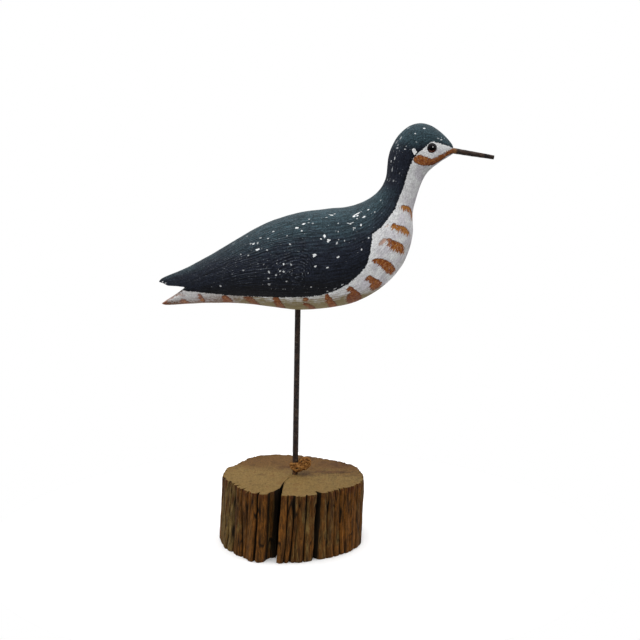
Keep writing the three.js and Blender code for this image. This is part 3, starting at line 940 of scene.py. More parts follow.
@dataclass(frozen=True)
class BirdPaint:
    """Old oil paint on carved wood: a dark cape, a pale breast, rust bars, flecks, dirt, and painted
    light and shade.
    """

    white: Colour = (0.73, 0.735, 0.735)
    lilac: Colour = (0.59, 0.568, 0.605)
    # The dark paint's top and low colours are painted light and shade: lighter where it faces up, near
    # black low down.
    cape_painted_top_light: Colour = (0.0265, 0.048, 0.059)
    cape_mid: Colour = (0.0118, 0.0148, 0.024)
    cape_painted_low_shade: Colour = (0.0040, 0.0046, 0.0070)
    cape_line: Colour = (0.060, 0.072, 0.086)
    cape_speck: Colour = (0.19, 0.205, 0.22)
    dust: Colour = (0.27, 0.30, 0.34)
    rust_light: Colour = (0.47, 0.178, 0.048)
    rust_deep: Colour = (0.205, 0.052, 0.013)
    rust_rim: Colour = (0.100, 0.030, 0.010)
    rust_pink: Colour = (0.66, 0.37, 0.24)
    rust_gold: Colour = (0.36, 0.155, 0.022)
    # Olive colour of dirt, also used as painted shade under the belly and tail and along the breast's
    # front edge.
    dirt_and_shade: Colour = (0.182, 0.136, 0.043)
    wash: Colour = (0.135, 0.062, 0.030)
    fleck: Colour = (0.82, 0.84, 0.85)
    ridge_pitch: float = 2.15

    def material(self) -> bpy.types.Material:
        """Lay the paints over each other.

        Returns:
            The finished material.
        """
        bench = Bench(bpy.data.materials.new("bird_paint"))
        ground = PaintGround(bench, self.ridge_pitch)
        cape = self.cape_share(ground)
        bars = self.bar_share(ground)
        flecks = self.fleck_share(ground)
        dirt_and_shade = self.dirt_and_shade_share(ground)
        # The pale paint turns olive where the bird faces down: dirt together with painted shade.
        colour = bench.blend(dirt_and_shade, self.white_paint(ground), self.dirt_and_shade)
        wash = bench.times(bench.number("wash"), bench.ease(ground.mottle, 0.3, 0.65, 0.5, 1.5))
        colour = bench.blend(wash, colour, self.wash)
        # The rust paint is dimmed by the same dirt and painted shade.
        rust_under_dirt_and_shade = bench.sized(self.rust_paint(ground), bench.ease(dirt_and_shade, 0.0, 1.0, 1.0, 0.72))
        colour = bench.blend(bars, colour, rust_under_dirt_and_shade)
        colour = bench.blend(cape, colour, self.cape_paint(ground))
        colour = bench.blend(flecks, colour, self.fleck)
        return bench.finish({
            "Base Color": colour, "Roughness": bench.ease(ground.mottle, 0.3, 0.7, 0.5, 0.7),
            "Specular IOR Level": 0.12, "Normal": self.relief(ground, cape, bars, flecks),
        })

    def white_paint(self, ground: PaintGround) -> Socket:
        """Mix the pale paint: lilac clouds, fine mottling and grain, a cleaner band by the cape, and
        painted light on the face and painted shade on the throat.

        Args:
            ground: What the layers share.

        Returns:
            Its colour.
        """
        bench = ground.bench
        clean = bench.ease(ground.cape, -9.0, -1.0)
        clouded = bench.ease(ground.cloud, 0.38, 0.62, 0.1, 0.85)
        lilac = bench.math("SUBTRACT", clouded, bench.times(clean, 0.6))
        colour = bench.blend(bench.ease(lilac, 0.0, 1.0), self.white, self.lilac)
        specks = bench.ease(bench.noise(ground.place, 0.95, 2, 0.6), 0.58, 0.68)
        dusty = bench.times(specks, bench.ease(clean, 0.0, 1.0, 0.12, 0.5))
        colour = bench.blend(dusty, colour, self.dust)
        grain = bench.scaled(ground.flow, (0.16, 0.75, 1.0), (5.0, 3.0, 0.0))
        worn = bench.ease(ground.mottle, 0.3, 0.62, 0.86, 1.04)
        drawn = bench.ease(bench.noise(grain, 1.0, 3, 0.8), 0.32, 0.62, 0.78, 1.09)
        dotted = bench.ease(ground.speckle, 0.34, 0.64, 0.8, 1.12)
        factor = bench.times(bench.times(worn, drawn), dotted)
        # lift brightens the face and the ear spot as painted light, and darkens the throat as painted
        # shade.
        return bench.sized(colour, bench.times(factor, bench.number("lift")))

    def cape_share(self, ground: PaintGround) -> Socket:
        """Find where the dark paint covers, with an edge that wanders and frays.

        Args:
            ground: What the layers share.

        Returns:
            Its share, from 0 to 1.
        """
        bench = ground.bench
        wander = bench.noise(ground.place, 0.3, 3)
        edge = bench.line(wander, 1.6, bench.plus(ground.cape, -0.8))
        edge = bench.line(ground.fray, 2.6, bench.plus(edge, -1.3))
        return bench.ease(edge, -0.12, 0.12)

    def cape_paint(self, ground: PaintGround) -> Socket:
        """Mix the dark paint, painted a lighter blue grey where the bird faces up as painted top light
        and sheen, and near black low down as painted shade.

        Args:
            ground: What the layers share.

        Returns:
            Its colour.
        """
        bench, ridges = ground.bench, ground.ridges
        # Painted top light: the dark paint is lighter where the bird faces up and on the head, and near
        # black low down.
        uneven = bench.line(ground.cloud, 0.5, bench.plus(bench.number("painted_top_light"), -0.25))
        low = bench.blend(bench.ease(uneven, -0.5, 0.05), self.cape_painted_low_shade, self.cape_mid)
        colour = bench.blend(bench.ease(uneven, 0.14, 0.72), low, self.cape_painted_top_light)
        grain = bench.scaled(ground.flow, (0.10, 0.85, 1.0), (0.0, 7.0, 0.0))
        worn = bench.times(
            bench.ease(ground.speckle, 0.34, 0.66, 0.5, 1.5),
            bench.ease(bench.noise(grain, 1.0, 3, 0.75), 0.34, 0.64, 0.55, 1.5),
        )
        drawn = bench.ease(ridges, -0.8, 0.5, 0.5, 1.15)
        rim = bench.ease(ground.cape, 0.2, 3.0, 0.6, 1.0)
        colour = bench.sized(colour, bench.times(bench.times(worn, drawn), rim))
        colour = bench.blend(bench.ease(ridges, 0.4, 0.95, 0.0, 0.62), colour, self.cape_line)
        dots = bench.ease(bench.noise(ground.place, 0.9, 2), 0.58, 0.68)
        crest = bench.times(dots, bench.ease(ridges, 0.2, 0.85, 0.05, 0.95))
        return bench.blend(crest, colour, self.cape_speck)

    def bar_share(self, ground: PaintGround) -> Socket:
        """Find where the rust paint covers: crisp above, and dragged out along the grain below.

        Args:
            ground: What the layers share.

        Returns:
            Its share, from 0 to 1.
        """
        bench = ground.bench
        drag = bench.noise(bench.scaled(ground.flow, (0.22, 0.85, 1.0)), 1.0, 2, 0.6)
        loose = bench.times(bench.ease(ground.under, -0.5, 0.5, 1.6, 8.0), ground.ragged)
        pulled = bench.times(bench.math("SUBTRACT", drag, 0.52), loose)
        edge = bench.plus(bench.plus(ground.depth, pulled), -1.5)
        solid = bench.ease(bench.line(ground.fray, 3.0, edge), -0.2, 0.25)
        holes = bench.noise(bench.moved(ground.place, (4.0, 2.0, 0.0)), 0.75, 3, 0.7)
        kept = bench.line(ground.ragged, -0.6, 1.05)
        thin = bench.math("MAXIMUM", bench.ease(holes, 0.31, 0.4, 0.3, 1.0), kept)
        return bench.times(bench.times(solid, thin), ground.cover)

    def rust_paint(self, ground: PaintGround) -> Socket:
        """Mix the rust paint, blotched dark and light, darker where it gathered at one edge.

        Args:
            ground: What the layers share.

        Returns:
            Its colour.
        """
        bench = ground.bench
        uneven = bench.noise(ground.place, 0.5, 4, 0.75)
        share = bench.plus(ground.tone, bench.line(uneven, 4.2, -2.1))
        light = bench.blend(ground.gold, self.rust_light, self.rust_gold)
        colour = bench.blend(bench.ease(share, 0.05, 0.95), self.rust_deep, light)
        spots = bench.noise(bench.moved(ground.place, (3.0, 8.0, 0.0)), 0.62, 3, 0.7)
        colour = bench.blend(bench.ease(spots, 0.42, 0.3, 0.0, 0.7), colour, self.rust_rim)
        bright = bench.times(bench.ease(spots, 0.6, 0.68, 0.0, 1.0), ground.tone)
        colour = bench.blend(bright, colour, self.rust_pink)
        above = bench.ease(ground.under, 0.1, -0.6, 0.25, 1.0)
        rim = bench.times(bench.ease(ground.depth, 1.4, 0.2), above)
        return bench.blend(bench.times(rim, 0.85), colour, self.rust_rim)

    def fleck_share(self, ground: PaintGround) -> Socket:
        """Find the flecks, with uneven edges and each of its own strength.

        Args:
            ground: What the layers share.

        Returns:
            Their share, from 0 to 1.
        """
        bench = ground.bench
        reach = bench.vector("LENGTH", bench.row("flecks")).outputs["Value"]
        uneven = bench.line(bench.noise(ground.place, 1.1, 3, 0.6), 2.0, -1.0)
        return bench.times(bench.ease(bench.plus(reach, uneven), 1.08, 0.7), bench.number("pale"))

    def dirt_and_shade_share(self, ground: PaintGround) -> Socket:
        """Find the dirt and painted shade where the bird faces down and along the breast's front edge.

        Args:
            ground: What the layers share.

        Returns:
            Its share, from 0 to 1.
        """
        bench = ground.bench
        patches = bench.noise(ground.place, 0.16, 3, 0.6)
        share = bench.plus(bench.number("dirt_and_shade"), bench.line(patches, 1.0, -0.5))
        share = bench.plus(share, bench.line(ground.mottle, 0.7, -0.35))
        return bench.ease(share, 0.1, 0.9, 0.0, 0.95)

    def relief(self, ground: PaintGround, cape: Socket, bars: Socket, flecks: Socket) -> Socket:
        """Raise the growth rings and the paint's own thickness.

        Args:
            ground: What the layers share.
            cape: The dark paint's share.
            bars: The rust paint's share.
            flecks: The flecks' share.

        Returns:
            The surface's normal.
        """
        bench = ground.bench
        height = bench.times(ground.ridges, bench.ease(cape, 0.0, 1.0, 0.06, 0.2))
        layers = ((ground.streak, 0.3), (ground.mottle, 0.3), (cape, 0.06), (bars, 0.08), (flecks, 0.08))
        for layer, thickness in layers:
            height = bench.line(layer, thickness, height)
        return bench.bump(height)


@dataclass(frozen=True)
class RustedIron:
    """Dark iron with a dull brown skin of rust, and paint smeared on near the bird."""

    name: str
    dark: Colour = (0.010, 0.008, 0.008)
    brown: Colour = (0.036, 0.021, 0.015)
    orange: Colour = (0.080, 0.036, 0.017)
    smear: Colour = (0.19, 0.084, 0.028)
    pale: Colour = (0.10, 0.085, 0.065)

    def material(self) -> bpy.types.Material:
        """Make the finish, which reads how much paint is smeared on from the mesh.

        Returns:
            The finished material.
        """
        bench = Bench(bpy.data.materials.new(self.name))
        place = bench.millimetres()
        patches = bench.noise(place, 0.22, 4, 0.65)
        grain = bench.noise(place, 1.9, 3, 0.6)
        colour = bench.blend(bench.ease(patches, 0.38, 0.62), self.dark, self.brown)
        spots = bench.times(bench.ease(grain, 0.52, 0.68), bench.ease(patches, 0.4, 0.7))
        colour = bench.blend(spots, colour, self.orange)
        scuffs = bench.noise(bench.scaled(place, (0.45, 1.0, 1.0)), 0.7, 3, 0.7)
        colour = bench.blend(bench.ease(scuffs, 0.55, 0.68, 0.0, 0.6), colour, self.pale)
        smeared = bench.plus(bench.number("smear"), bench.line(grain, 1.5, -0.75))
        smear = bench.sized(self.smear, bench.ease(scuffs, 0.4, 0.6, 0.25, 1.25))
        colour = bench.blend(bench.ease(smeared, 0.35, 0.75), colour, smear)
        height = bench.line(grain, 0.16, bench.times(patches, 0.25))
        roughness = bench.line(grain, 0.3, 0.5)
        return bench.finish({
            "Base Color": colour, "Roughness": roughness, "Specular IOR Level": 0.25,
            "Normal": bench.bump(height),
        })


@dataclass(frozen=True)
class EyeGlass:
    """Clear glass over a dark brown iris with a wide black pupil, seen as one polished surface; the
    lower iris is painted lit.
    """

    pupil: Colour = (0.002, 0.002, 0.002)
    iris: Colour = (0.005, 0.003, 0.005)
    iris_lit: Colour = (0.10, 0.022, 0.011)
    rim: Colour = (0.006, 0.003, 0.002)

    def material(self) -> bpy.types.Material:
        """Make the finish, which reads the distance from the eye's middle from the mesh.

        Returns:
            The finished material.
        """
        bench = Bench(bpy.data.materials.new("glass_eye"))
        outward, below, _ = bench.parts(bench.row("iris"))
        place = bench.millimetres()
        rays = bench.noise(place, 2.4, 3)
        # The lower part of the iris is painted lit: painted light that falls through the dome.
        iris = bench.blend(bench.ease(below, 0.1, 0.75), self.iris, self.iris_lit)
        iris = bench.sized(iris, bench.ease(rays, 0.3, 0.7, 0.6, 1.3))
        colour = bench.blend(bench.ease(outward, 0.5, 0.6), self.pupil, iris)
        colour = bench.blend(bench.ease(outward, 0.86, 0.97), colour, self.rim)
        return bench.finish({
            "Base Color": colour, "Roughness": 0.3, "Specular IOR Level": 0.0,
            "Coat Weight": 0.5, "Coat Roughness": 0.02, "Coat IOR": 1.45,
        })


@dataclass(frozen=True)
class DarkPatch:
    """A dark patch on the sawn top: its middle and its half sizes in X and Y."""

    x: float
    y: float
    wide: float
    deep: float


@dataclass(frozen=True)
class OldLog:
    """Wood without bark: ribs of grey and orange brown with furrows painted black as painted shade, and
    sawn ochre ends.
    """

    # Near black: painted shade in the furrows, side splits, crack and rod's hole; also the thin splits
    # on the sawn top.
    furrow: Colour = (0.006, 0.004, 0.002)
    umber: Colour = (0.034, 0.0145, 0.0040)
    brown: Colour = (0.080, 0.0325, 0.0065)
    orange: Colour = (0.134, 0.050, 0.0082)
    grey: Colour = (0.103, 0.065, 0.0210)
    red: Colour = (0.050, 0.013, 0.004)
    end_ochre: Colour = (0.166, 0.104, 0.034)
    end_brown: Colour = (0.106, 0.053, 0.0165)
    end_dark: Colour = (0.060, 0.026, 0.011)
    # Darker patches of the sawn top, each by its middle and half sizes.
    dark_patches: tuple[DarkPatch, ...] = (
        DarkPatch(28.0, 7.0, 40.0, 6.0), DarkPatch(10.0, 0.0, 13.0, 9.0), DarkPatch(-9.0, 20.0, 11.0, 8.0),
        DarkPatch(38.0, 30.0, 24.0, 18.0),
    )
    splits: tuple[tuple[Point, Point], ...] = (((36.0, 2.5), (53.5, 7.0)), ((24.0, 3.5), (36.0, 2.5)))

    def material(self) -> bpy.types.Material:
        """Make the finish, which reads furrows, ribs and cut faces from the mesh.

        Returns:
            The finished material.
        """
        bench = Bench(bpy.data.materials.new("old_log"))
        place = bench.millimetres()
        fine = bench.noise(bench.scaled(place, (1.0, 1.0, 0.07)), 0.95, 4, 0.8)
        line = self.split_lines(bench, place)
        wander = bench.noise(place, 0.6, 3)
        edge = bench.line(wander, 1.0, bench.plus(bench.number("sawn"), -0.5))
        share = bench.ease(edge, 0.42, 0.58)
        colour = bench.blend(share, self.side(bench, place, fine), self.ends(bench, place, line))
        sawn = bench.noise(bench.scaled(place, (1.0, 0.3, 1.0)), 1.0, 4, 0.7)
        height = bench.times(fine, bench.ease(share, 1.0, 0.0, 0.0, 1.3))
        height = bench.line(sawn, bench.ease(share, 0.0, 1.0, 0.0, 0.5), height)
        height = bench.line(line, -0.5, height)
        return bench.finish({
            "Base Color": colour, "Roughness": 0.85, "Specular IOR Level": 0.1,
            "Normal": bench.bump(height),
        })

    def side(self, bench: Bench, place: Socket, fine: Socket) -> Socket:
        """Colour the weathered fibres that run up the log, each rib of its own tint.

        Args:
            bench: Where the material is made.
            place: The place on the log.
            fine: The noise of the fibres.

        Returns:
            The colour.
        """
        height = bench.parts(place)[2]
        broad = bench.noise(bench.scaled(place, (1.0, 1.0, 0.28)), 0.22, 4, 0.6)
        hue = bench.line(bench.number("tint"), 0.42, bench.line(broad, 1.9, -0.45))
        colour = bench.blend(bench.ease(hue, 0.05, 0.5), self.grey, self.brown)
        colour = bench.blend(bench.ease(hue, 0.5, 1.0), colour, self.orange)
        patches = bench.noise(bench.scaled(place, (1.0, 1.0, 0.12), (30.0, 0.0, 0.0)), 0.3, 4, 0.65)
        colour = bench.blend(bench.ease(patches, 0.5, 0.64, 0.0, 0.9), colour, self.umber)
        colour = bench.sized(colour, bench.ease(fine, 0.34, 0.64, 0.45, 1.5))
        pits = bench.noise(bench.scaled(place, (1.0, 1.0, 0.3)), 0.7, 3, 0.75)
        colour = bench.blend(bench.ease(pits, 0.55, 0.66, 0.0, 0.8), colour, self.umber)
        chaff = bench.noise(bench.scaled(place, (1.0, 1.0, 0.16), (7.0, 7.0, 7.0)), 0.8, 3, 0.7)
        colour = bench.sized(colour, bench.ease(chaff, 0.58, 0.68, 1.0, 1.45))
        chipped = bench.noise(bench.scaled(place, (1.0, 1.0, 0.6), (0.0, 9.0, 4.0)), 0.45, 3, 0.7)
        chipped = bench.times(bench.ease(chipped, 0.54, 0.64), bench.ease(height, 54.0, 57.4))
        colour = bench.blend(bench.times(chipped, 0.7), colour, self.end_ochre)
        red = bench.noise(bench.scaled(place, (1.0, 1.0, 0.3)), 0.35, 3, 0.6)
        near_top = bench.ease(height, 50.0, 57.5, 0.0, 0.9)
        colour = bench.blend(bench.times(near_top, bench.ease(red, 0.42, 0.6)), colour, self.red)
        # Painted shade: furrows, side splits, the crack and the sunken rib darken towards near black.
        deep = bench.plus(bench.number("furrow"), bench.line(fine, 0.9, -0.45))
        return bench.blend(bench.ease(deep, 0.4, 0.95, 0.0, 0.97), colour, self.furrow)

    def ends(self, bench: Bench, place: Socket, line: Socket) -> Socket:
        """Colour the sawn faces: ochre in front, browner behind and a little darker towards +X as
        painted shade, with rings, dark patches and splits.

        Args:
            bench: Where the material is made.
            place: The place on the log.
            line: The drying splits' share.

        Returns:
            The colour.
        """
        x, y, _ = bench.parts(place)
        cloud = bench.noise(place, 0.05, 4, 0.6)
        beyond = bench.line(x, 0.2, bench.plus(y, -24.0))
        back = bench.ease(bench.line(cloud, 50.0, beyond), -6.0, 34.0)
        colour = bench.blend(back, self.end_ochre, self.end_brown)
        # Painted shade: the sawn top darkens a little towards +X, as light falling off.
        colour = bench.sized(colour, bench.ease(x, 5.0, 40.0, 1.0, 0.9))
        smudge = bench.noise(bench.moved(place, (40.0, 13.0, 0.0)), 0.12, 4, 0.65)
        darkened_patches = bench.times(self.darkened_patches(bench, place), bench.ease(smudge, 0.3, 0.6, 0.2, 0.9))
        colour = bench.blend(darkened_patches, colour, self.end_dark)
        colour = bench.blend(bench.ease(smudge, 0.56, 0.72, 0.0, 0.45), colour, self.end_dark)
        warp = bench.noise(place, 0.05, 2)
        flat = bench.vector("LENGTH", bench.scaled(place, (1.0, 1.0, 0.0))).outputs["Value"]
        rings = bench.math("SINE", bench.line(warp, 34.0, bench.times(flat, 2.2)))
        speck = bench.noise(bench.scaled(place, (1.0, 0.42, 1.0)), 0.75, 4, 0.8)
        patchy = bench.noise(bench.scaled(place, (1.0, 0.5, 1.0), (3.0, 9.0, 0.0)), 0.2, 4, 0.65)
        colour = bench.blend(bench.ease(patchy, 0.5, 0.66, 0.0, 0.5), colour, self.end_brown)
        colour = bench.sized(colour, bench.ease(patchy, 0.34, 0.56, 0.84, 1.06))
        ringed = bench.line(rings, 0.05, bench.ease(speck, 0.34, 0.66, 0.83, 1.19))
        colour = bench.sized(colour, ringed)
        return bench.blend(bench.times(line, 0.9), colour, self.furrow)

    def darkened_patches(self, bench: Bench, place: Socket) -> Socket:
        """Find the dark patches on the sawn top.

        Args:
            bench: Where the material is made.
            place: The place on the log.

        Returns:
            Their share, from 0 to 1.
        """
        share = 0.0
        for dark_patch in self.dark_patches:
            shift = (-dark_patch.x / dark_patch.wide, -dark_patch.y / dark_patch.deep, 0.0)
            away = bench.scaled(place, (1 / dark_patch.wide, 1 / dark_patch.deep, 0.0), shift)
            away = bench.vector("LENGTH", away).outputs["Value"]
            share = bench.math("MAXIMUM", share, bench.ease(away, 1.0, 0.2))
        return share

    def split_lines(self, bench: Bench, place: Socket) -> Socket:
        """Find the thin drying splits on the sawn top.

        Args:
            bench: Where the material is made.
            place: The place on the log.

        Returns:
            Their share, from 0 to 1.
        """
        flat = bench.scaled(place, (1.0, 1.0, 0.0))
        shaken = bench.line(bench.noise(place, 0.5, 3), 1.6, -0.8)
        lines = 0.0
        for start, end in self.splits:
            length = math.dist(start, end)
            x, y = (end[0] - start[0]) / length, (end[1] - start[1]) / length
            reach = bench.vector("SUBTRACT", flat, (*start, 0.0)).outputs[0]
            share = bench.vector("DOT_PRODUCT", reach, (x, y, 0.0)).outputs["Value"]
            aside = bench.vector("DOT_PRODUCT", reach, (-y, x, 0.0)).outputs["Value"]
            width = bench.math("ABSOLUTE", bench.plus(aside, shaken))
            middle = bench.math("ABSOLUTE", bench.line(share, 2 / length, -1.0))
            line = bench.times(bench.ease(width, 0.5, 0.1), bench.ease(middle, 1.1, 0.8))
            lines = bench.math("MAXIMUM", lines, line)
        return bench.times(lines, bench.number("sawn"))


@dataclass(frozen=True)
class TwineFibre:
    """Dry golden-brown vegetable fibre."""

    light: Colour = (0.35, 0.168, 0.046)
    dark: Colour = (0.115, 0.041, 0.008)

    def material(self) -> bpy.types.Material:
        """Make the finish.

        Returns:
            The finished material.
        """
        bench = Bench(bpy.data.materials.new("twine_fibre"))
        place = bench.millimetres()
        fine = bench.noise(place, 1.5, 4, 0.7)
        broad = bench.noise(place, 0.4, 2)
        tone = bench.line(broad, 0.8, bench.plus(fine, -0.4))
        colour = bench.blend(bench.ease(tone, 0.3, 0.75), self.dark, self.light)
        return bench.finish({
            "Base Color": colour, "Roughness": 0.9, "Specular IOR Level": 0.15,
            "Normal": bench.bump(bench.times(fine, 0.25)),
        })


# The bird


@dataclass(frozen=True)
class Station:
    """A rib across the bird, from a point of the back to a point of the belly, in X and Z."""

    back: Point
    belly: Point
    half: float
    widest: float = 0.5


STATIONS: tuple[Station, ...] = (
    Station((-115, 229.6), (-112.8, 210.2), 2.2), Station((-111.3, 232.7), (-109, 209.3), 5.6),
    Station((-103.5, 236.1), (-101.5, 209.4), 8.4, 0.52),
    Station((-91, 241.3), (-88.5, 210.3), 12.5, 0.53), Station((-71, 251.9), (-67, 211.3), 19.5, 0.52),
    Station((-47, 266.2), (-43, 210.9), 26.5), Station((-22, 279.8), (-19, 208.2), 31.5, 0.48),
    Station((4, 288.2), (5, 205.5), 34, 0.47), Station((28, 291.6), (31, 207.3), 34, 0.47),
    Station((47, 293.6), (53.8, 212.4), 32.3, 0.48), Station((59.5, 297.6), (75.8, 224.9), 29.3, 0.49),
    Station((68.5, 303), (91.2, 240.8), 25.2), Station((74.3, 309), (99.2, 257.7), 21),
    Station((77.6, 315), (102, 272.6), 17.4), Station((79.3, 321.5), (101.5, 287.5), 14.6),
    Station((79.9, 328.5), (105, 302.5), 13), Station((80.7, 335.5), (109, 314.5), 12.7),
    Station((83.3, 344), (112.9, 321.6), 13.3), Station((89, 353.6), (117.5, 326.4), 14.1),
    Station((97.5, 361), (121.8, 329.7), 14.5), Station((107, 363.7), (125.6, 332.4), 13.9),
    Station((116.3, 361.6), (128.8, 334.3), 12, 0.49), Station((124.4, 356.4), (131.4, 336), 9.2, 0.48),
    Station((130.6, 350.6), (133.4, 337.3), 6.3, 0.48), Station((135, 344.8), (135, 338.2), 3.5, 0.48),
)


@dataclass
class Spike:
    """The bill's place: an iron spike driven into the head."""

    root: Array
    tip: Array
    root_radius: float = 1.4
    face_radius: float = 2.42
    face_at: float = 15.2
    middle_radius: float = 2.18
    middle_at: float = 32.0
    tip_radius: float = 1.75

    @property
    def axis(self) -> Array:
        """The direction from root to tip."""
        return unit(self.tip - self.root)

    @property
    def length(self) -> float:
        """The whole length, root and all."""
        return float(np.linalg.norm(self.tip - self.root))


SPIKE = Spike(np.array([121.0, 0.0, 343.1]), np.array([169.5, 0.0, 335.15]))


@dataclass
class EyeSeat:
    """Where a glass eye is set: the middle of its rim and the way that it looks."""

    side: Side
    radius: float = 3.9
    sunk: float = 2.6
    dome: float = 1.9

    @property
    def node(self) -> str:
        """The name of the eye's solid."""
        return "eye_left" if self.side is Side.LEFT else "eye_right"

    def find(self) -> tuple[Array, Array]:
        """Read the eye's place from its solid.

        Returns:
            The middle of the rim and the direction of the eye's axis.
        """
        rows = vertex_rows(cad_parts[self.node].data)
        middle = (rows.max(0) + rows.min(0)) / 2
        spread = np.linalg.svd(rows - rows.mean(0), full_matrices=False)
        sizes, axes = spread[1], spread[2]
        lone = 0 if abs(sizes[1] - sizes[2]) < abs(sizes[0] - sizes[1]) else 2
        axis = axes[lone] * np.sign(axes[lone][1]) * self.side.value
        heights = (rows - middle) @ axis
        centre = rows.mean(0)
        centre = centre + axis * (heights.min() + self.sunk - (centre - middle) @ axis)
        return centre, axis


@dataclass
class RodLine:
    """The rod's line: it leans towards the bill."""

    diameter: float = 4.4
    lean_degrees: float = 1.1
    fit_gap: float = 0.3

    def at(self, height: float) -> Array:
        """The point of the axis at a height."""
        return np.array([height * math.tan(math.radians(self.lean_degrees)), 0.0, height])

    @property
    def axis(self) -> Array:
        """The direction of the axis, upwards."""
        return unit(self.at(1.0))


ROD = RodLine()


@dataclass(frozen=True)
class MarkAndLightReach:
    """Where marks of paint, dirt, and painted light and shade start and are full, as X or Z of the side
    view or a part of the normal.
    """

    grain_behind: Point = (-15.0, -45.0)
    grain_before: Point = (4.0, 26.0)
    grain_low: Point = (236.0, 222.0)
    grain_low_behind: Point = (30.0, 0.0)
    head_up: Point = (332.0, 350.0)
    head_forward: Point = (84.0, 104.0)
    rump: Point = (-15.0, -70.0)
    face: Point = (1.3, 0.6)
    ear: Point = (-1.5, 0.0)
    throat_from: Point = (284.0, 300.0)
    throat_to: Point = (334.0, 326.0)
    belly: Point = (236.0, 216.0)
    belly_normal: Point = (-0.37, -0.88)
    belly_behind: Point = (-35.0, -70.0)
    tail: Point = (-40.0, -60.0)
    tail_normal: Point = (-0.8, -0.98)
    breast: Point = (290.0, 240.0)
    breast_normal: Point = (0.5, 0.95)
    wash: Point = (-28.0, -62.0)
    wash_low: Point = (214.0, 211.0)
    wash_normal: Point = (-0.35, -0.85)
    tip: Point = (-90.0, -106.0)
    tip_normal: Point = (-0.3, -0.8)


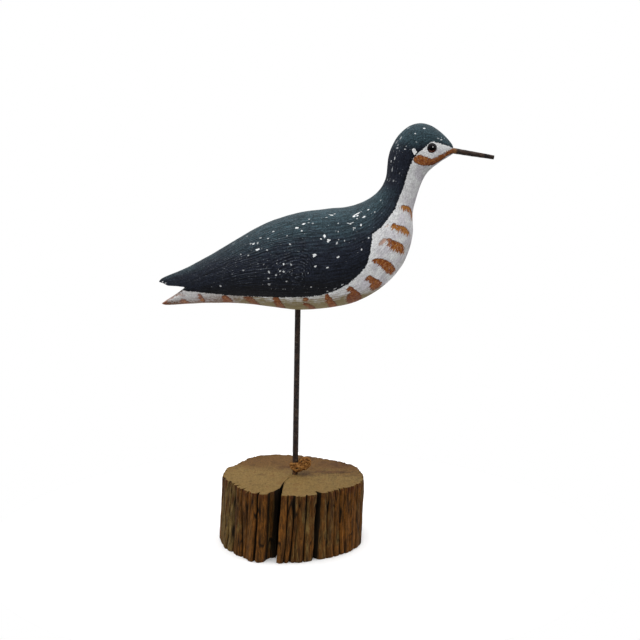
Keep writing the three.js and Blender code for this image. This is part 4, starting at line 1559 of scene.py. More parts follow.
@dataclass
class CarvedBird:
    """The bird's body: a hand-cut block with a notch behind, sockets for its irons and its paint."""

    viewpoint: Viewpoint
    ribs: int = 296
    points_round: int = 284
    end_rings: tuple[float, ...] = (0.0, 0.12, 0.35, 0.7, 1.2)
    worn_edge: float = 1.3
    widest_girth: float = 240.0
    facet_size: float = 11.0
    facet_depth: float = 0.2
    gouge_size: float = 3.1
    gouge_depth: float = 0.07
    calm_eye: float = 6.5
    calm_bill: tuple[float, float] = (4.0, 9.0)
    bill_foot: Triple = (135.0, 0.0, 341.0)
    face_middle: Point = (120.0, 341.0)
    face_half: Point = (13.0, 8.0)
    reach: MarkAndLightReach = MarkAndLightReach()
    fit_gap: float = 0.3
    bore_length: float = 49.0
    notch_apex: Point = (-89.3, 226.3)
    wing_underside: tuple[Point, ...] = (
        (-98, 226.9), (-106.5, 226.9), (-110.5, 228.6), (-114.6, 229.3), (-124, 230.5),
    )
    tail_top: tuple[Point, ...] = (
        (-124, 203.5), (-112.4, 210.6), (-106.9, 214.4), (-103, 216.7), (-99.2, 219.3), (-94.2, 223.0),
    )
    tail_crown: float = 3.2
    tail_crown_at: float = 10.0
    notch_middle: Point = (-104.0, 221.5)
    notch_half_width: float = 18.0
    notch_step: float = 0.8
    flank_middle: Point = (0.7, 238.7)
    flank_width: float = 34.3
    whorl_half: Point = (24.0, 24.0)
    whorl_lift: float = 4.0
    ring_reach: float = 40.0
    ring_patch: float = 15.0
    ring_wander: float = 0.3

    def build(self) -> bpy.types.Object:
        """Carve and paint the bird.

        Returns:
            The finished piece.
        """
        skin, flow = self.blank()
        piece = skin.mesh("bird_body")
        normals = normal_rows(piece.data)
        carved = skin.points + normals * self.relief(skin.points, flow)[:, None]
        piece.data.vertices.foreach_set("co", (carved * MM).ravel())
        piece.data.update()
        self.cut(piece)
        self.mark(piece.data, carved, flow)
        shade(piece, 42)
        return hand_over(piece, BirdPaint().material(), Slot.PAINTED_WOOD, "carved_bird")

    def places(self) -> Array:
        """Where the ribs stand, from 0 to 1, evenly along the longer of back and belly.

        Returns:
            The places, closer together at both ends.
        """
        fine = np.linspace(0, 1, 4000)
        rows = np.array([(*station.back, *station.belly) for station in STATIONS])
        line = smooth_through(rows, fine)
        steps = np.diff(line, axis=0)
        step = np.maximum(np.hypot(steps[:, 0], steps[:, 1]), np.hypot(steps[:, 2], steps[:, 3]))
        length = np.concatenate([[0], np.cumsum(step)])
        start = np.array(self.end_rings)
        middle = np.linspace(2.0, length[-1] - 2.0, self.ribs)
        wanted = np.concatenate([start, middle, length[-1] - start[::-1]])
        return np.interp(wanted, length, fine)

    def blank(self) -> tuple[Skin, Array]:
        """Loft the body through its stations.

        Returns:
            The closed skin, and for each of its points the distance along the bird, the distance round
            it from the back, and how open the growth rings lie there.
        """
        places = self.places()
        rows = np.array([(*s.back, *s.belly, s.half, s.widest) for s in STATIONS])
        line = smooth_through(rows, places)
        turn = evenly(self.points_round)
        middles = (line[:, :2] + line[:, 2:4]) / 2
        along = np.concatenate([[0], np.cumsum(np.linalg.norm(np.diff(middles, axis=0), axis=1))])
        from_back = (1 - np.abs(1 - turn / math.pi)) * self.widest_girth / 2
        rings, flow = [], []
        for row, distance in zip(line, along):
            back, belly, half, widest = row[:2], row[2:4], row[4], row[5]
            reach = np.where(np.cos(turn) > 0, 1 - widest, widest)
            height = widest + reach * np.cos(turn)
            flat = belly + height[:, None] * (back - belly)
            ring = np.column_stack([flat[:, 0], -half * np.sin(turn), flat[:, 1]])
            rings.append(self.worn(ring, min(distance, along[-1] - distance)))
            tall = np.linalg.norm(back - belly)
            girth = math.pi * (half + tall / 2)
            openness = smoothstep(girth, 60, 170)
            flow.append([[distance, place, openness] for place in from_back])
        poles = rings[0].mean(0), rings[-1].mean(0)
        ends = np.array([[0.0, from_back.mean(), 0.0], [along[-1], from_back.mean(), 0.0]])
        return Skin.through(rings, *poles), np.vstack([*flow, ends])

    def worn(self, ring: Array, from_end: float) -> Array:
        """Draw a ring in where it lies within the worn edge of an end.

        Args:
            ring: The ring's points.
            from_end: Its distance from the nearer end.

        Returns:
            The ring's points, drawn in.
        """
        if from_end >= self.worn_edge:
            return ring
        short = self.worn_edge - from_end
        inset = self.worn_edge - math.sqrt(self.worn_edge**2 - short**2)
        middle = ring.mean(0)
        away = ring - middle
        reach = np.linalg.norm(away, axis=1, keepdims=True)
        return middle + away * (1 - np.minimum(inset / reach, 0.8))

    def relief(self, points: Array, flow: Array) -> Array:
        """Knife facets and the gouge's shallow flutes, calm round the eyes and the bill.

        Args:
            points: The skin's points.
            flow: Their distances along and round the bird.

        Returns:
            The height of each point over the smooth skin.
        """
        facets = Wobble(11).at(points / self.facet_size)
        facets += 0.5 * Wobble(12).at(points / self.facet_size * 2.1)
        drift = Wobble(13).at(flow * np.array([0.02, 0.05, 0]))
        flutes = np.sin((flow[:, 1] + 2.5 * drift) * 2 * math.pi / self.gouge_size) * flow[:, 2]
        nicks = Wobble(14).layered(flow * np.array([0.12, 0.45, 0]), 2)
        height = self.facet_depth * facets / 1.5 + self.gouge_depth * (flutes + 1.2 * nicks)
        for side in Side:
            middle, _ = EyeSeat(side).find()
            from_eye = np.linalg.norm(points - middle, axis=1)
            height *= smoothstep(from_eye, self.calm_eye, 2 * self.calm_eye)
        return height * smoothstep(np.linalg.norm(points - self.bill_foot, axis=1), *self.calm_bill)

    def notch(self) -> Skin:
        """Shape the wedge of air between wing tips and tail, with its lower face crowned.

        Returns:
            The closed surface.
        """
        outline = np.array([self.notch_apex, *self.wing_underside, *self.tail_top], float)
        dense = []
        for start, end in zip(outline, np.roll(outline, -1, axis=0)):
            steps = max(1, math.ceil(np.linalg.norm(end - start) / self.notch_step))
            dense.extend(start + (end - start) * i / steps for i in range(steps))
        flat = np.array(dense)
        tail_low, tail_high = self.tail_top[0], self.notch_apex
        chord = (flat[:, 0] - tail_low[0]) / (tail_high[0] - tail_low[0])
        floor = np.interp(flat[:, 0], [x for x, _ in self.tail_top], [z for _, z in self.tail_top])
        is_tail = (np.abs(flat[:, 1] - floor) < 0.2) & (chord > 0)
        is_tail &= flat[:, 0] < self.tail_top[-1][0] + 0.01
        rings = []
        for y in np.arange(-self.notch_half_width, self.notch_half_width + 0.01, self.notch_step):
            fall = np.where(is_tail, self.tail_crown * (y / self.tail_crown_at) ** 2, 0)
            rings.append(np.column_stack([flat[:, 0], np.full(len(flat), y), flat[:, 1] - fall]))
        x, z = self.notch_middle
        right = np.array([x, -self.notch_half_width, z])
        left = np.array([x, self.notch_half_width, z])
        return Skin.through(rings, right, left)

    def cutters(self) -> list[Skin]:
        """Shape everything that is cut out of the body.

        Returns:
            The notch, and the sockets of the bill, the rod and the eyes.
        """
        gap = self.fit_gap
        beyond = SPIKE.face_at + 8
        spike = np.array([
            (-gap, 0), (-gap, SPIKE.root_radius + gap), (SPIKE.face_at, SPIKE.face_radius + gap),
            (beyond, SPIKE.face_radius + gap), (beyond, 0),
        ])
        rod_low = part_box("rod")[1].z * PER_METRE + gap - self.bore_length
        wide, long = ROD.diameter / 2 + gap, self.bore_length
        bore = np.array([(0, 0), (0, wide), (long, wide), (long, 0)])
        cuts = [self.notch(), turned(spike, 32, SPIKE.root, SPIKE.axis)]
        cuts.append(turned(bore, 40, ROD.at(rod_low), ROD.axis))
        for side in Side:
            seat = EyeSeat(side)
            middle, axis = seat.find()
            radius = seat.radius + gap
            low, high = -seat.sunk - gap, 2 * seat.dome
            socket = np.array([(low, 0), (low, radius), (high, radius), (high, 0)])
            cuts.append(turned(socket, 48, middle, axis))
        return cuts

    def cut(self, piece: bpy.types.Object) -> None:
        """Cut the notch and the sockets out of the body.

        Args:
            piece: The body, whose mesh is replaced.
        """
        tools = []
        for number, skin in enumerate(self.cutters()):
            tool = skin.mesh(f"cutter_{number}")
            outward(tool.data)
            modifier = piece.modifiers.new(tool.name, "BOOLEAN")
            modifier.operation = "DIFFERENCE"
            modifier.solver = "MANIFOLD"
            modifier.object = tool
            tools.append(tool)
        graph = bpy.context.evaluated_depsgraph_get()
        cut_mesh = bpy.data.meshes.new_from_object(piece.evaluated_get(graph))
        piece.modifiers.clear()
        blank = piece.data
        piece.data = cut_mesh
        bpy.data.meshes.remove(blank)
        cut_mesh.name = piece.name
        for tool in tools:
            bpy.data.objects.remove(tool)

    def mark(self, mesh: bpy.types.Mesh, carved: Array, flow: Array) -> None:
        """Keep on the mesh where each paint lies, and where dirt and painted light and shade lie.

        Args:
            mesh: The cut body.
            carved: The points of the body before it was cut.
            flow: Their distances along and round the bird.
        """
        points = vertex_rows(mesh)
        normals = normal_rows(mesh)
        seen = self.viewpoint.side_view(points)
        store(mesh, "flow", self.grain(flow[self.nearest(carved, points)], seen))
        store(mesh, "whorl", self.rings_round(points, normals, seen))
        store(mesh, "cape", self.cape(seen))
        bars, look = self.bars(seen)
        store(mesh, "bars", bars)
        store(mesh, "bar_look", look)
        self.mark_light(mesh, normals, seen)
        self.mark_dirt_and_shade(mesh, points, normals, seen)
        flecks, pale = self.flecks(mesh, points)
        store(mesh, "flecks", flecks, "CORNER")
        store(mesh, "pale", pale, "CORNER")

    def grain(self, flow: Array, seen: Array) -> Array:
        """Open the grain behind, and calm it before and low on the belly.

        Args:
            flow: Rows of the distance along the bird, the distance round it and the grain's strength.
            seen: Where the points are seen on the middle plane.

        Returns:
            The rows with the strength changed.
        """
        x, z = seen.T
        reach = self.reach
        strength = np.maximum(flow[:, 2], 0.8 * smoothstep(x, *reach.grain_behind))
        before = 0.7 * smoothstep(x, *reach.grain_before)
        low = 0.6 * smoothstep(z, *reach.grain_low) * smoothstep(x, *reach.grain_low_behind)
        return np.column_stack([flow[:, :2], strength * (1 - np.maximum(before, low))])

    def mark_light(self, mesh: bpy.types.Mesh, normals: Array, seen: Array) -> None:
        """Keep on the mesh the painted top light of the dark paint, and the painted light and shade of
        the pale paint.

        Args:
            mesh: The cut body.
            normals: The normals at its points.
            seen: Where the points are seen on the middle plane.
        """
        x, z = seen.T
        reach = self.reach
        # Painted top light of the dark paint, from the normal's Z, raised on the head and lowered on the
        # rump.
        on_head = smoothstep(z, *reach.head_up) * smoothstep(x, *reach.head_forward)
        on_rump = smoothstep(x, *reach.rump)
        painted_top_light = normals[:, 2] * (1 - 0.28 * on_rump) - 0.1 * on_rump
        store(mesh, "painted_top_light", painted_top_light + 0.56 * on_head - 0.04)
        # Painted light on the face and the ear spot, and painted shade on the throat, kept as lift.
        face = np.linalg.norm((seen - self.face_middle) / self.face_half, axis=1)
        ear, _ = EAR_SPOT.measure(seen)
        lift = np.maximum(0.1 * smoothstep(face, *reach.face), 0.2 * smoothstep(ear, *reach.ear))
        throat = smoothstep(z, *reach.throat_from) * smoothstep(z, *reach.throat_to)
        store(mesh, "lift", 1.03 + lift - 0.1 * throat)

    def mark_dirt_and_shade(self, mesh: bpy.types.Mesh, points: Array, normals: Array, seen: Array) -> None:
        """Keep on the mesh where dirt and painted shade lie, and where the brown wash lies.

        Args:
            mesh: The cut body.
            points: Its points.
            normals: The normals at its points.
            seen: Where the points are seen on the middle plane.
        """
        x, z = seen.T
        forward, _, up = normals.T
        reach = self.reach
        # Darker low on the belly where it faces down: dirt with painted shade.
        under = smoothstep(up, *reach.belly_normal) * smoothstep(z, *reach.belly)
        under *= 1 - 0.62 * smoothstep(x, *reach.belly_behind)
        # Under the tail where it faces down: dirt with painted shade.
        tail = smoothstep(points[:, 0], *reach.tail) * smoothstep(up, *reach.tail_normal)
        # Painted shade along the breast's front edge, where its surface faces forward.
        edge = 0.42 * smoothstep(forward, *reach.breast_normal) * smoothstep(z, *reach.breast)
        store(mesh, "dirt_and_shade", np.maximum(np.maximum(under, tail), edge))
        low = np.maximum(smoothstep(up, *reach.wash_normal), smoothstep(z, *reach.wash_low))
        tip = 0.4 * smoothstep(x, *reach.tip) * smoothstep(up, *reach.tip_normal)
        store(mesh, "wash", smoothstep(x, *reach.wash) * (0.18 + 0.45 * low) + tip)

    @staticmethod
    def nearest(known: Array, wanted: Array) -> Array:
        """Find the nearest known point for each wanted one.

        Args:
            known: The points to choose from.
            wanted: The places.

        Returns:
            The number of the nearest point for each place.
        """
        tree = KDTree(len(known))
        for number, point in enumerate(known):
            tree.insert(point, number)
        tree.balance()
        return np.array([tree.find(point)[1] for point in wanted])

    def rings_round(self, points: Array, normals: Array, seen: Array) -> Array:
        """Growth rings on the flanks, which close in ovals round the fullest place.

        Args:
            points: The mesh's points.
            normals: The skin's normals there.
            seen: Where the points are seen on the middle plane.

        Returns:
            Each point's distance from the innermost ring and how far the rings rule it.
        """
        x, z = (seen - self.flank_middle).T
        width = np.abs(points[:, 1]) + Wobble(31).layered(points / self.ring_patch, 2) * self.ring_wander
        width -= 0.12 * z + 0.0107 * np.maximum(x, 0) ** 2
        reach = self.ring_reach * np.sqrt(np.clip(1 - (width / self.flank_width) ** 2, 0, 1))
        away = np.hypot(x / self.whorl_half[0], (z - self.whorl_lift) / self.whorl_half[1])
        share = smoothstep(away, 1.0, 0.6) * smoothstep(np.abs(normals[:, 1]), 0.35, 0.6)
        return np.column_stack([reach, share, np.zeros(len(points))])

    def cape(self, seen: Array) -> Array:
        """Measure how deep each point lies in the dark cape.

        Args:
            seen: Where the points are seen on the middle plane.

        Returns:
            The depth, negative outside the cape.
        """
        depth, _ = Outline(CAPE_EDGE + BEYOND_THE_BIRD).measure(seen)
        spot, _ = EAR_SPOT.measure(seen)
        return np.minimum(depth, -spot)

    def bars(self, seen: Array) -> tuple[Array, Array]:
        """Rust paint at each point.

        Args:
            seen: Where the points are seen on the middle plane.

        Returns:
            Rows of depth inside the nearest bar, the side of the bar and its tone, and rows of how
            thick, how ragged and how golden that bar is.
        """
        bars = np.tile([-99.0, 0.0, 0.0], (len(seen), 1))
        look = np.zeros((len(seen), 3))
        for bar in BARS:
            inside, below = Outline(bar.corners, smooth=True).measure(seen)
            better = inside > bars[:, 0]
            rows = np.column_stack([inside, bar.rim * below, np.full(len(seen), bar.tone)])
            bars[better] = rows[better]
            look[better] = (bar.cover, bar.ragged, bar.gold)
        return bars, look

    def flecks(self, mesh: bpy.types.Mesh, points: Array) -> tuple[Array, Array]:
        """Place every fleck and give each corner its place within the nearest one.

        Args:
            mesh: The cut body.
            points: Its points.

        Returns:
            For each corner, the way from the fleck's middle as shares of its half sizes, and how
            strong the fleck is.
        """
        faces = [tuple(face.vertices) for face in mesh.polygons]
        tree = BVHTree.FromPolygons([Vector(point) for point in points], faces)
        counts = np.array([len(face) for face in faces])
        starts = np.concatenate([[0], np.cumsum(counts)[:-1]])
        corners = np.concatenate([np.array(face) for face in faces])
        owners = np.repeat(np.arange(len(faces)), counts)
        middles = np.add.reduceat(points[corners], starts) / counts[:, None]
        best = np.full(len(faces), np.inf)
        far_off = 9.0
        local = np.full((len(corners), 3), far_off)
        pale = np.zeros(len(corners))
        for middle, normal, fleck in self.fleck_places(tree):
            lean = math.radians(fleck.tilt)
            wanted = np.array([math.cos(lean), 0.0, math.sin(lean)])
            long = unit(wanted - normal * (wanted @ normal))
            wide = np.cross(normal, long)
            axes = np.column_stack([long / (fleck.length / 2), wide / (fleck.width / 2), normal / 2.0])
            reach = fleck.length / 2 + 1.6
            near = np.flatnonzero(np.abs(middles - middle).max(axis=1) < reach)
            measure = np.linalg.norm((middles[near] - middle) @ axes, axis=1)
            won = near[measure < best[near]]
            best[won] = measure[measure < best[near]]
            mine = np.isin(owners, won)
            local[mine] = (points[corners[mine]] - middle) @ axes
            pale[mine] = fleck.pale
        return local, pale

    def fleck_places(self, tree: BVHTree) -> list[tuple[Array, Array, Fleck]]:
        """Where the flecks lie on the skin.

        Args:
            tree: The skin, for finding where sight lines meet it.

        Returns:
            The middle, the skin's normal and the fleck.
        """
        found = []
        for fleck in FLECKS:
            self.add_seen(tree, fleck, Side.RIGHT, found)
        rng = np.random.default_rng(29)
        for side in (Side.RIGHT, Side.LEFT):
            for spatter in SPATTERS:
                for _ in range(spatter.count if side is Side.LEFT else spatter.count // 2):
                    x, z = rng.uniform(spatter.low, spatter.high)
                    small = rng.uniform() ** 2
                    length = spatter.length[0] + small * (spatter.length[1] - spatter.length[0])
                    wider = rng.uniform() * small
                    width = spatter.width[0] + wider * (spatter.width[1] - spatter.width[0])
                    tilt = spatter.tilt + rng.normal(0, 22)
                    fleck = Fleck(x, z, length, width, tilt, rng.uniform(*spatter.pale))
                    self.add_seen(tree, fleck, side, found)
        for fleck in FLECKS[::2]:
            shifted = Fleck(fleck.x - 6, fleck.z + 3, fleck.length, fleck.width, -fleck.tilt)
            self.add_seen(tree, shifted, Side.LEFT, found)
        return found

    def add_seen(self, tree: BVHTree, fleck: Fleck, side: Side, found: list) -> None:
        """Add a fleck where the sight line of one side meets dark paint on the skin.

        Args:
            tree: The skin.
            fleck: The fleck, as the viewer of that side sees it.
            side: The side.
            found: The list that it is added to.
        """
        eye = self.viewpoint.eye
        eye[1] = abs(eye[1]) * side.value
        place = np.array([fleck.x, 0.0, fleck.z])
        hit, normal, _, _ = tree.ray_cast(Vector(eye), Vector(place - eye).normalized())
        if hit is None:
            return
        middle = np.array(hit)
        seen = self.viewpoint.side_view(middle[None, :])
        if self.cape(seen)[0] > 0.4:
            found.append((middle, np.array(normal), fleck))


def outward(mesh: bpy.types.Mesh) -> None:
    """Turn a closed mesh's faces outwards.

    Args:
        mesh: The mesh, which is changed.
    """
    work = bmesh.new()
    work.from_mesh(mesh)
    bmesh.ops.recalc_face_normals(work, faces=work.faces)
    work.to_mesh(mesh)
    work.free()


# The irons and the eyes


@dataclass
class Bill:
    """The iron spike, with hammered flats and a cut end."""

    sides: int = 40
    rings: int = 110
    worn_tip: float = 0.35
    hammered: float = 0.07
    squareness: float = 2.6
    flats: float = 0.45

    def build(self) -> bpy.types.Object:
        """Forge the spike.

        Returns:
            The finished piece.
        """
        turn = evenly(self.sides)
        outwards = spokes(SPIKE.axis, turn)
        power = self.squareness
        square = (np.abs(np.cos(turn)) ** power + np.abs(np.sin(turn)) ** power) ** (-1 / power)
        section = 1 - self.flats + self.flats * square
        worn = self.worn_tip / SPIKE.tip_radius
        shaft = np.linspace(0.4, SPIKE.length - self.worn_tip, self.rings)
        stations = [(0.0, 0.6), *((along, 1.0) for along in shaft)]
        stations += [(SPIKE.length - 0.1, 1 - 0.25 * worn), (SPIKE.length, 1 - worn)]
        places = (0, SPIKE.face_at, SPIKE.middle_at, SPIKE.length)
        radii = (SPIKE.root_radius, SPIKE.face_radius, SPIKE.middle_radius, SPIKE.tip_radius)
        wobble = Wobble(21)
        rings, smear = [], []
        for along, share in stations:
            radius = share * np.interp(along, places, radii)
            ring = SPIKE.root + along * SPIKE.axis + outwards * (radius * section)[:, None]
            shown = smoothstep(along, SPIKE.face_at, SPIKE.face_at + 3)
            bumps = wobble.layered(ring / 2.6, 3) * self.hammered * shown * 1.6
            rings.append(ring + outwards * (bumps - 0.35 * self.hammered)[:, None])
            smeared = 1 - smoothstep(along, SPIKE.face_at - 1, SPIKE.face_at + 4.5)
            smear.append(np.full(self.sides, smeared))
        piece = Skin.through(rings, SPIKE.root, SPIKE.tip).mesh("iron_bill")
        store(piece.data, "smear", np.concatenate([*smear, [1.0, 0.0]]))
        shade(piece, 40)
        return hand_over(piece, RustedIron("iron_spike").material(), Slot.IRON_SPIKE, "bill")


@dataclass
class Rod:
    """The rusted rod that carries the bird."""

    sides: int = 40
    step: float = 0.9
    pitting: float = 0.06
    rust: float = 0.24
    shift: float = 0.1
    stained_foot: Point = (64.5, 59.5)
    iron: RustedIron = RustedIron(
        "rusted_iron", (0.0085, 0.0065, 0.0065), (0.029, 0.017, 0.012), (0.062, 0.028, 0.0135)
    )

    def build(self) -> bpy.types.Object:
        """Draw the rod.

        Returns:
            The finished piece.
        """
        low, high = (corner.z * PER_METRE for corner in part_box("rod"))
        low_in = ROD.at(low + 0.05)
        length = (high - low - 0.1) / ROD.axis[2]
        outwards = spokes(ROD.axis, evenly(self.sides))
        wobble = Wobble(22)
        rings = []
        for along in np.linspace(0, length, int(length / self.step)):
            middle = low_in + along * ROD.axis + np.array([self.shift, 0.0, 0.0])
            ring = middle + outwards * (ROD.diameter / 2 + self.rust)
            pits = wobble.layered(ring / np.array([2.2, 2.2, 4.0]), 3) * self.pitting
            rings.append(ring + outwards * pits[:, None])
        piece = Skin.through(rings, low_in, low_in + length * ROD.axis).mesh("iron_rod")
        heights = vertex_rows(piece.data)[:, 2]
        paint = 0.3 * smoothstep(heights, high - 22.0, high - 16.0)
        store(piece.data, "smear", paint + 0.55 * smoothstep(heights, *self.stained_foot))
        shade(piece, 40)
        return hand_over(piece, self.iron.material(), Slot.RUSTED_IRON, "rod")


@dataclass
class GlassEye:
    """One glass eye: a drum in the wood under a polished dome."""

    seat: EyeSeat
    material: bpy.types.Material
    sides: int = 48
    dome_rings: int = 22

    def build(self) -> bpy.types.Object:
        """Blow the eye.

        Returns:
            The finished piece.
        """
        middle, axis = self.seat.find()
        radius, sunk, dome = self.seat.radius, self.seat.sunk, self.seat.dome
        profile = [(-sunk, 0.0), (-sunk, radius - 0.3), (-sunk + 0.3, radius), (-0.2, radius)]
        for i in range(self.dome_rings):
            lift = i / self.dome_rings * math.pi / 2
            profile.append((dome * math.sin(lift), radius * math.cos(lift)))
        profile.append((dome, 0.0))
        name = self.seat.node.replace("eye", "glass_eye")
        piece = turned(np.array(profile), self.sides, middle, axis).mesh(name)
        rows = vertex_rows(piece.data) - middle
        flat = rows - (rows @ axis)[:, None] * axis
        outwards = np.linalg.norm(flat, axis=1) / radius
        store(piece.data, "iris", np.column_stack([outwards, -flat[:, 2] / radius, np.zeros(len(rows))]))
        shade(piece, 60)
        return hand_over(piece, self.material, Slot.GLASS_EYE, self.seat.node)


# The log


@dataclass(frozen=True)
class Furrow:
    """A furrow down the log.

    Its angle is in degrees from +X. Drift is the turn of that angle from the top to the foot, and rib is
    the tint of the rib on its anticlockwise side, from -1, grey, to 1, orange.
    """

    angle: float
    depth: float
    width: float
    drift: float
    rib: float = 0.0


@dataclass(frozen=True)
class CrackPlace:
    """One place on the open crack: distance from the log's centre, angle and half width."""

    radius: float
    angle: float
    half: float


@dataclass(frozen=True)
class SunkenRib:
    """The rib beside the crack that has lost its outer wood, by its angles and its depths at both."""

    start: float = -110.4
    end: float = -98.5
    depth: float = 4.4
    deepest: float = 17.0
    flat: float = 4.6
    # Where the painted shadow line at the rib's step lies, and its half width.
    edge_at: float = 0.35
    edge_half: float = 0.8
    foot_fill: float = 9.0


@dataclass
class LogSlice:
    """The slice of log: furrowed side, open crack, sawn ends and the rod's hole."""

    height: float = 58.2
    centre: Point = (-0.4, -1.9)
    lean: float = 2.8 / 58.2
    flare: float = 1.008
    rim_wear: float = 0.5
    chip: float = 1.5
    rim_height: float = 1.6
    rim_columns: int = 860
    wall_columns: int = 50
    side_rings: int = 54
    end_rings: int = 26
    socket_depth: float = 38.0
    quiet_from: float = -12.0
    quiet_to: float = 194.0
    quiet_count: int = 19
    drift_reach: float = 5.0
    bend_reach: float = 35.0
    wander: float = 0.8
    split_width: float = 0.22
    split_cut: float = 0.9
    worn_back: float = 0.35
    lump_height: float = 0.45
    fibre_height: float = 0.45
    flake_height: float = 0.9
    noise_radius: float = 60.0
    outline: tuple[Point, ...] = (
        (-174, 61.9), (-152, 58.6), (-138, 60.8), (-127, 62.3), (-116, 62.6), (-107, 59), (-93, 61.4),
        (-81, 62.9), (-69, 60.6), (-57, 59.6), (-47, 59.2), (-35, 61.8), (-17, 63.9), (-4, 62.4),
        (11, 61), (25, 61.6), (39, 60), (55, 57.4), (71, 58.4), (85, 61.4), (95, 63.6), (107, 66.2),
        (117, 68.6), (128, 67.2), (140, 62.8), (152, 61), (160, 63.8), (172, 62.2),
    )
    foot_spread: tuple[Triple, ...] = (
        (-154, 9, 4), (-138, 9, 2.6), (-118, 9, 5.6), (-96, 6, 3.6), (-48, 14, 2.6),
    )
    front: tuple[Furrow, ...] = (
        Furrow(-160, 2, 1.3, 1, -1), Furrow(-153, 2.6, 1.6, 1, -1), Furrow(-146.5, 4.8, 2, 5, -0.2),
        Furrow(-135.3, 4.6, 2.2, 7.5, 0.2), Furrow(-127.5, 2.6, 1.2, 2.5, 0.4),
        Furrow(-118.4, 3.4, 1.8, 2.6, 0.5), Furrow(-92.8, 1.7, 1.1, -1, 0),
        Furrow(-88, 2.3, 1.7, -1.2, 0), Furrow(-84.4, 1.3, 0.9, -1.2, -0.3),
        Furrow(-78, 2.6, 1.5, -0.8, -0.35), Furrow(-66.6, 7, 3.6, -2.4, -0.4),
        Furrow(-57.6, 2.5, 1.3, -1.5, -0.1), Furrow(-51, 2.5, 1.2, 0.5, 0.1),
        Furrow(-45, 2.9, 1.7, -0.3, 0.5), Furrow(-40.4, 2.3, 1.4, 0, 0.7), Furrow(-34, 1.7, 1, -1, 0.8),
        Furrow(-26.5, 2.3, 1.3, -0.5, 0.2), Furrow(-19, 1.9, 1.3, 0, -0.1),
        Furrow(-9, 1.8, 1.3, 0, 0.1),
    )
    crack: tuple[CrackPlace, ...] = (
        CrackPlace(60, -100.7, 2.4), CrackPlace(50, -101.8, 1.9), CrackPlace(38, -104.0, 1.2),
        CrackPlace(24, -107.4, 0.85), CrackPlace(13, -110.5, 0.45), CrackPlace(6, -115.0, 0.02),
    )
    crack_drift: float = -0.4
    crack_closing: float = 0.75
    sunken: SunkenRib = SunkenRib()

    def __post_init__(self) -> None:
        """List the furrows in front, and those of the far side by a rule."""
        self.furrows = list(self.front)
        for i in range(self.quiet_count):
            place = (i + 0.5 + 0.22 * math.sin(2.4 * i)) / self.quiet_count
            angle = self.quiet_from + place * (self.quiet_to - self.quiet_from)
            depth, width = 1.3 + 0.6 * math.sin(1.7 * i), 1.7 + 0.3 * math.cos(2.9 * i)
            drift, rib = 1.4 * math.sin(1.1 * i), 0.8 * math.sin(2.3 * i + 1)
            self.furrows.append(Furrow(angle, depth, width, drift, rib))
        self.wobbles = [Wobble(40 + i) for i in range(7)]

    def smooth_radius(self, angles: Array) -> Array:
        """Find the log's radius without furrows.

        Args:
            angles: Angles in degrees from +X.

        Returns:
            The radius at each.
        """
        at = np.array([angle for angle, _ in self.outline], float)
        radii = np.array([radius for _, radius in self.outline])
        at = np.concatenate([[at[-1] - 360], at, at[:2] + 360])
        radii = np.concatenate([[radii[-1]], radii, radii[:2]])
        wanted = at[1] + (angles - at[1]) % 360
        low = np.clip(np.searchsorted(at, wanted, side="right") - 1, 1, len(at) - 3)
        width = at[low + 1] - at[low]
        share = (wanted - at[low]) / width
        leaving = (radii[low + 1] - radii[low - 1]) / (at[low + 1] - at[low - 1]) * width
        arriving = (radii[low + 2] - radii[low]) / (at[low + 2] - at[low]) * width
        return hermite(share, radii[low], leaving, radii[low + 1], arriving)

    @staticmethod
    def turn_between(angles: Array, angle: float) -> Array:
        """The turn from one angle to others, between -180 and 180 degrees."""
        return (angles - angle + 540) % 360 - 180

    def furrow_depth(self, angles: Array, height: float) -> Array:
        """Find how deep the furrows cut, with the rounded shoulders of the ribs between them.

        Args:
            angles: Angles in degrees from +X.
            height: The level.

        Returns:
            The depth at each angle.
        """
        arc = float(self.smooth_radius(np.array([0.0]))[0]) * math.pi / 180
        depth = np.zeros(len(angles))
        for number, furrow in enumerate(self.furrows):
            spot = np.array([[number * 3.7, height / 20.0, 0.5], [number * 3.7, height / 14.0, 9.5]])
            deeper, wider = self.wobbles[0].at(spot)
            away = self.turn_between(angles, furrow.angle) * arc / (furrow.width / 2 * (1 + 0.3 * wider))
            depth += furrow.depth * (1 + 0.35 * deeper) * np.exp(-(away**2))
            depth += 0.1 * furrow.depth * np.exp(-((away / 2.6) ** 2))
        return depth

    def drift(self, angles: Array, height: float) -> Array:
        """Find how far the furrows stray from their angles.

        Args:
            angles: Angles in degrees from +X.
            height: The level.

        Returns:
            The turn at each, in degrees.
        """
        drift = np.zeros(len(angles))
        weight = np.full(len(angles), 0.05)
        places = [(furrow.angle, furrow.drift) for furrow in self.furrows]
        for angle, pull in [*places, (self.crack[0].angle, self.crack_drift)]:
            near = np.exp(-((self.turn_between(angles, angle) / self.drift_reach) ** 2))
            drift += near * pull
            weight += near
        down = 1 - height / self.height
        stray = self.wobbles[1].at(compass(angles) * 8 + np.array([0, 0, height / 17.0]))
        return drift / weight * down + self.wander * stray * smoothstep(down, 0, 0.25)

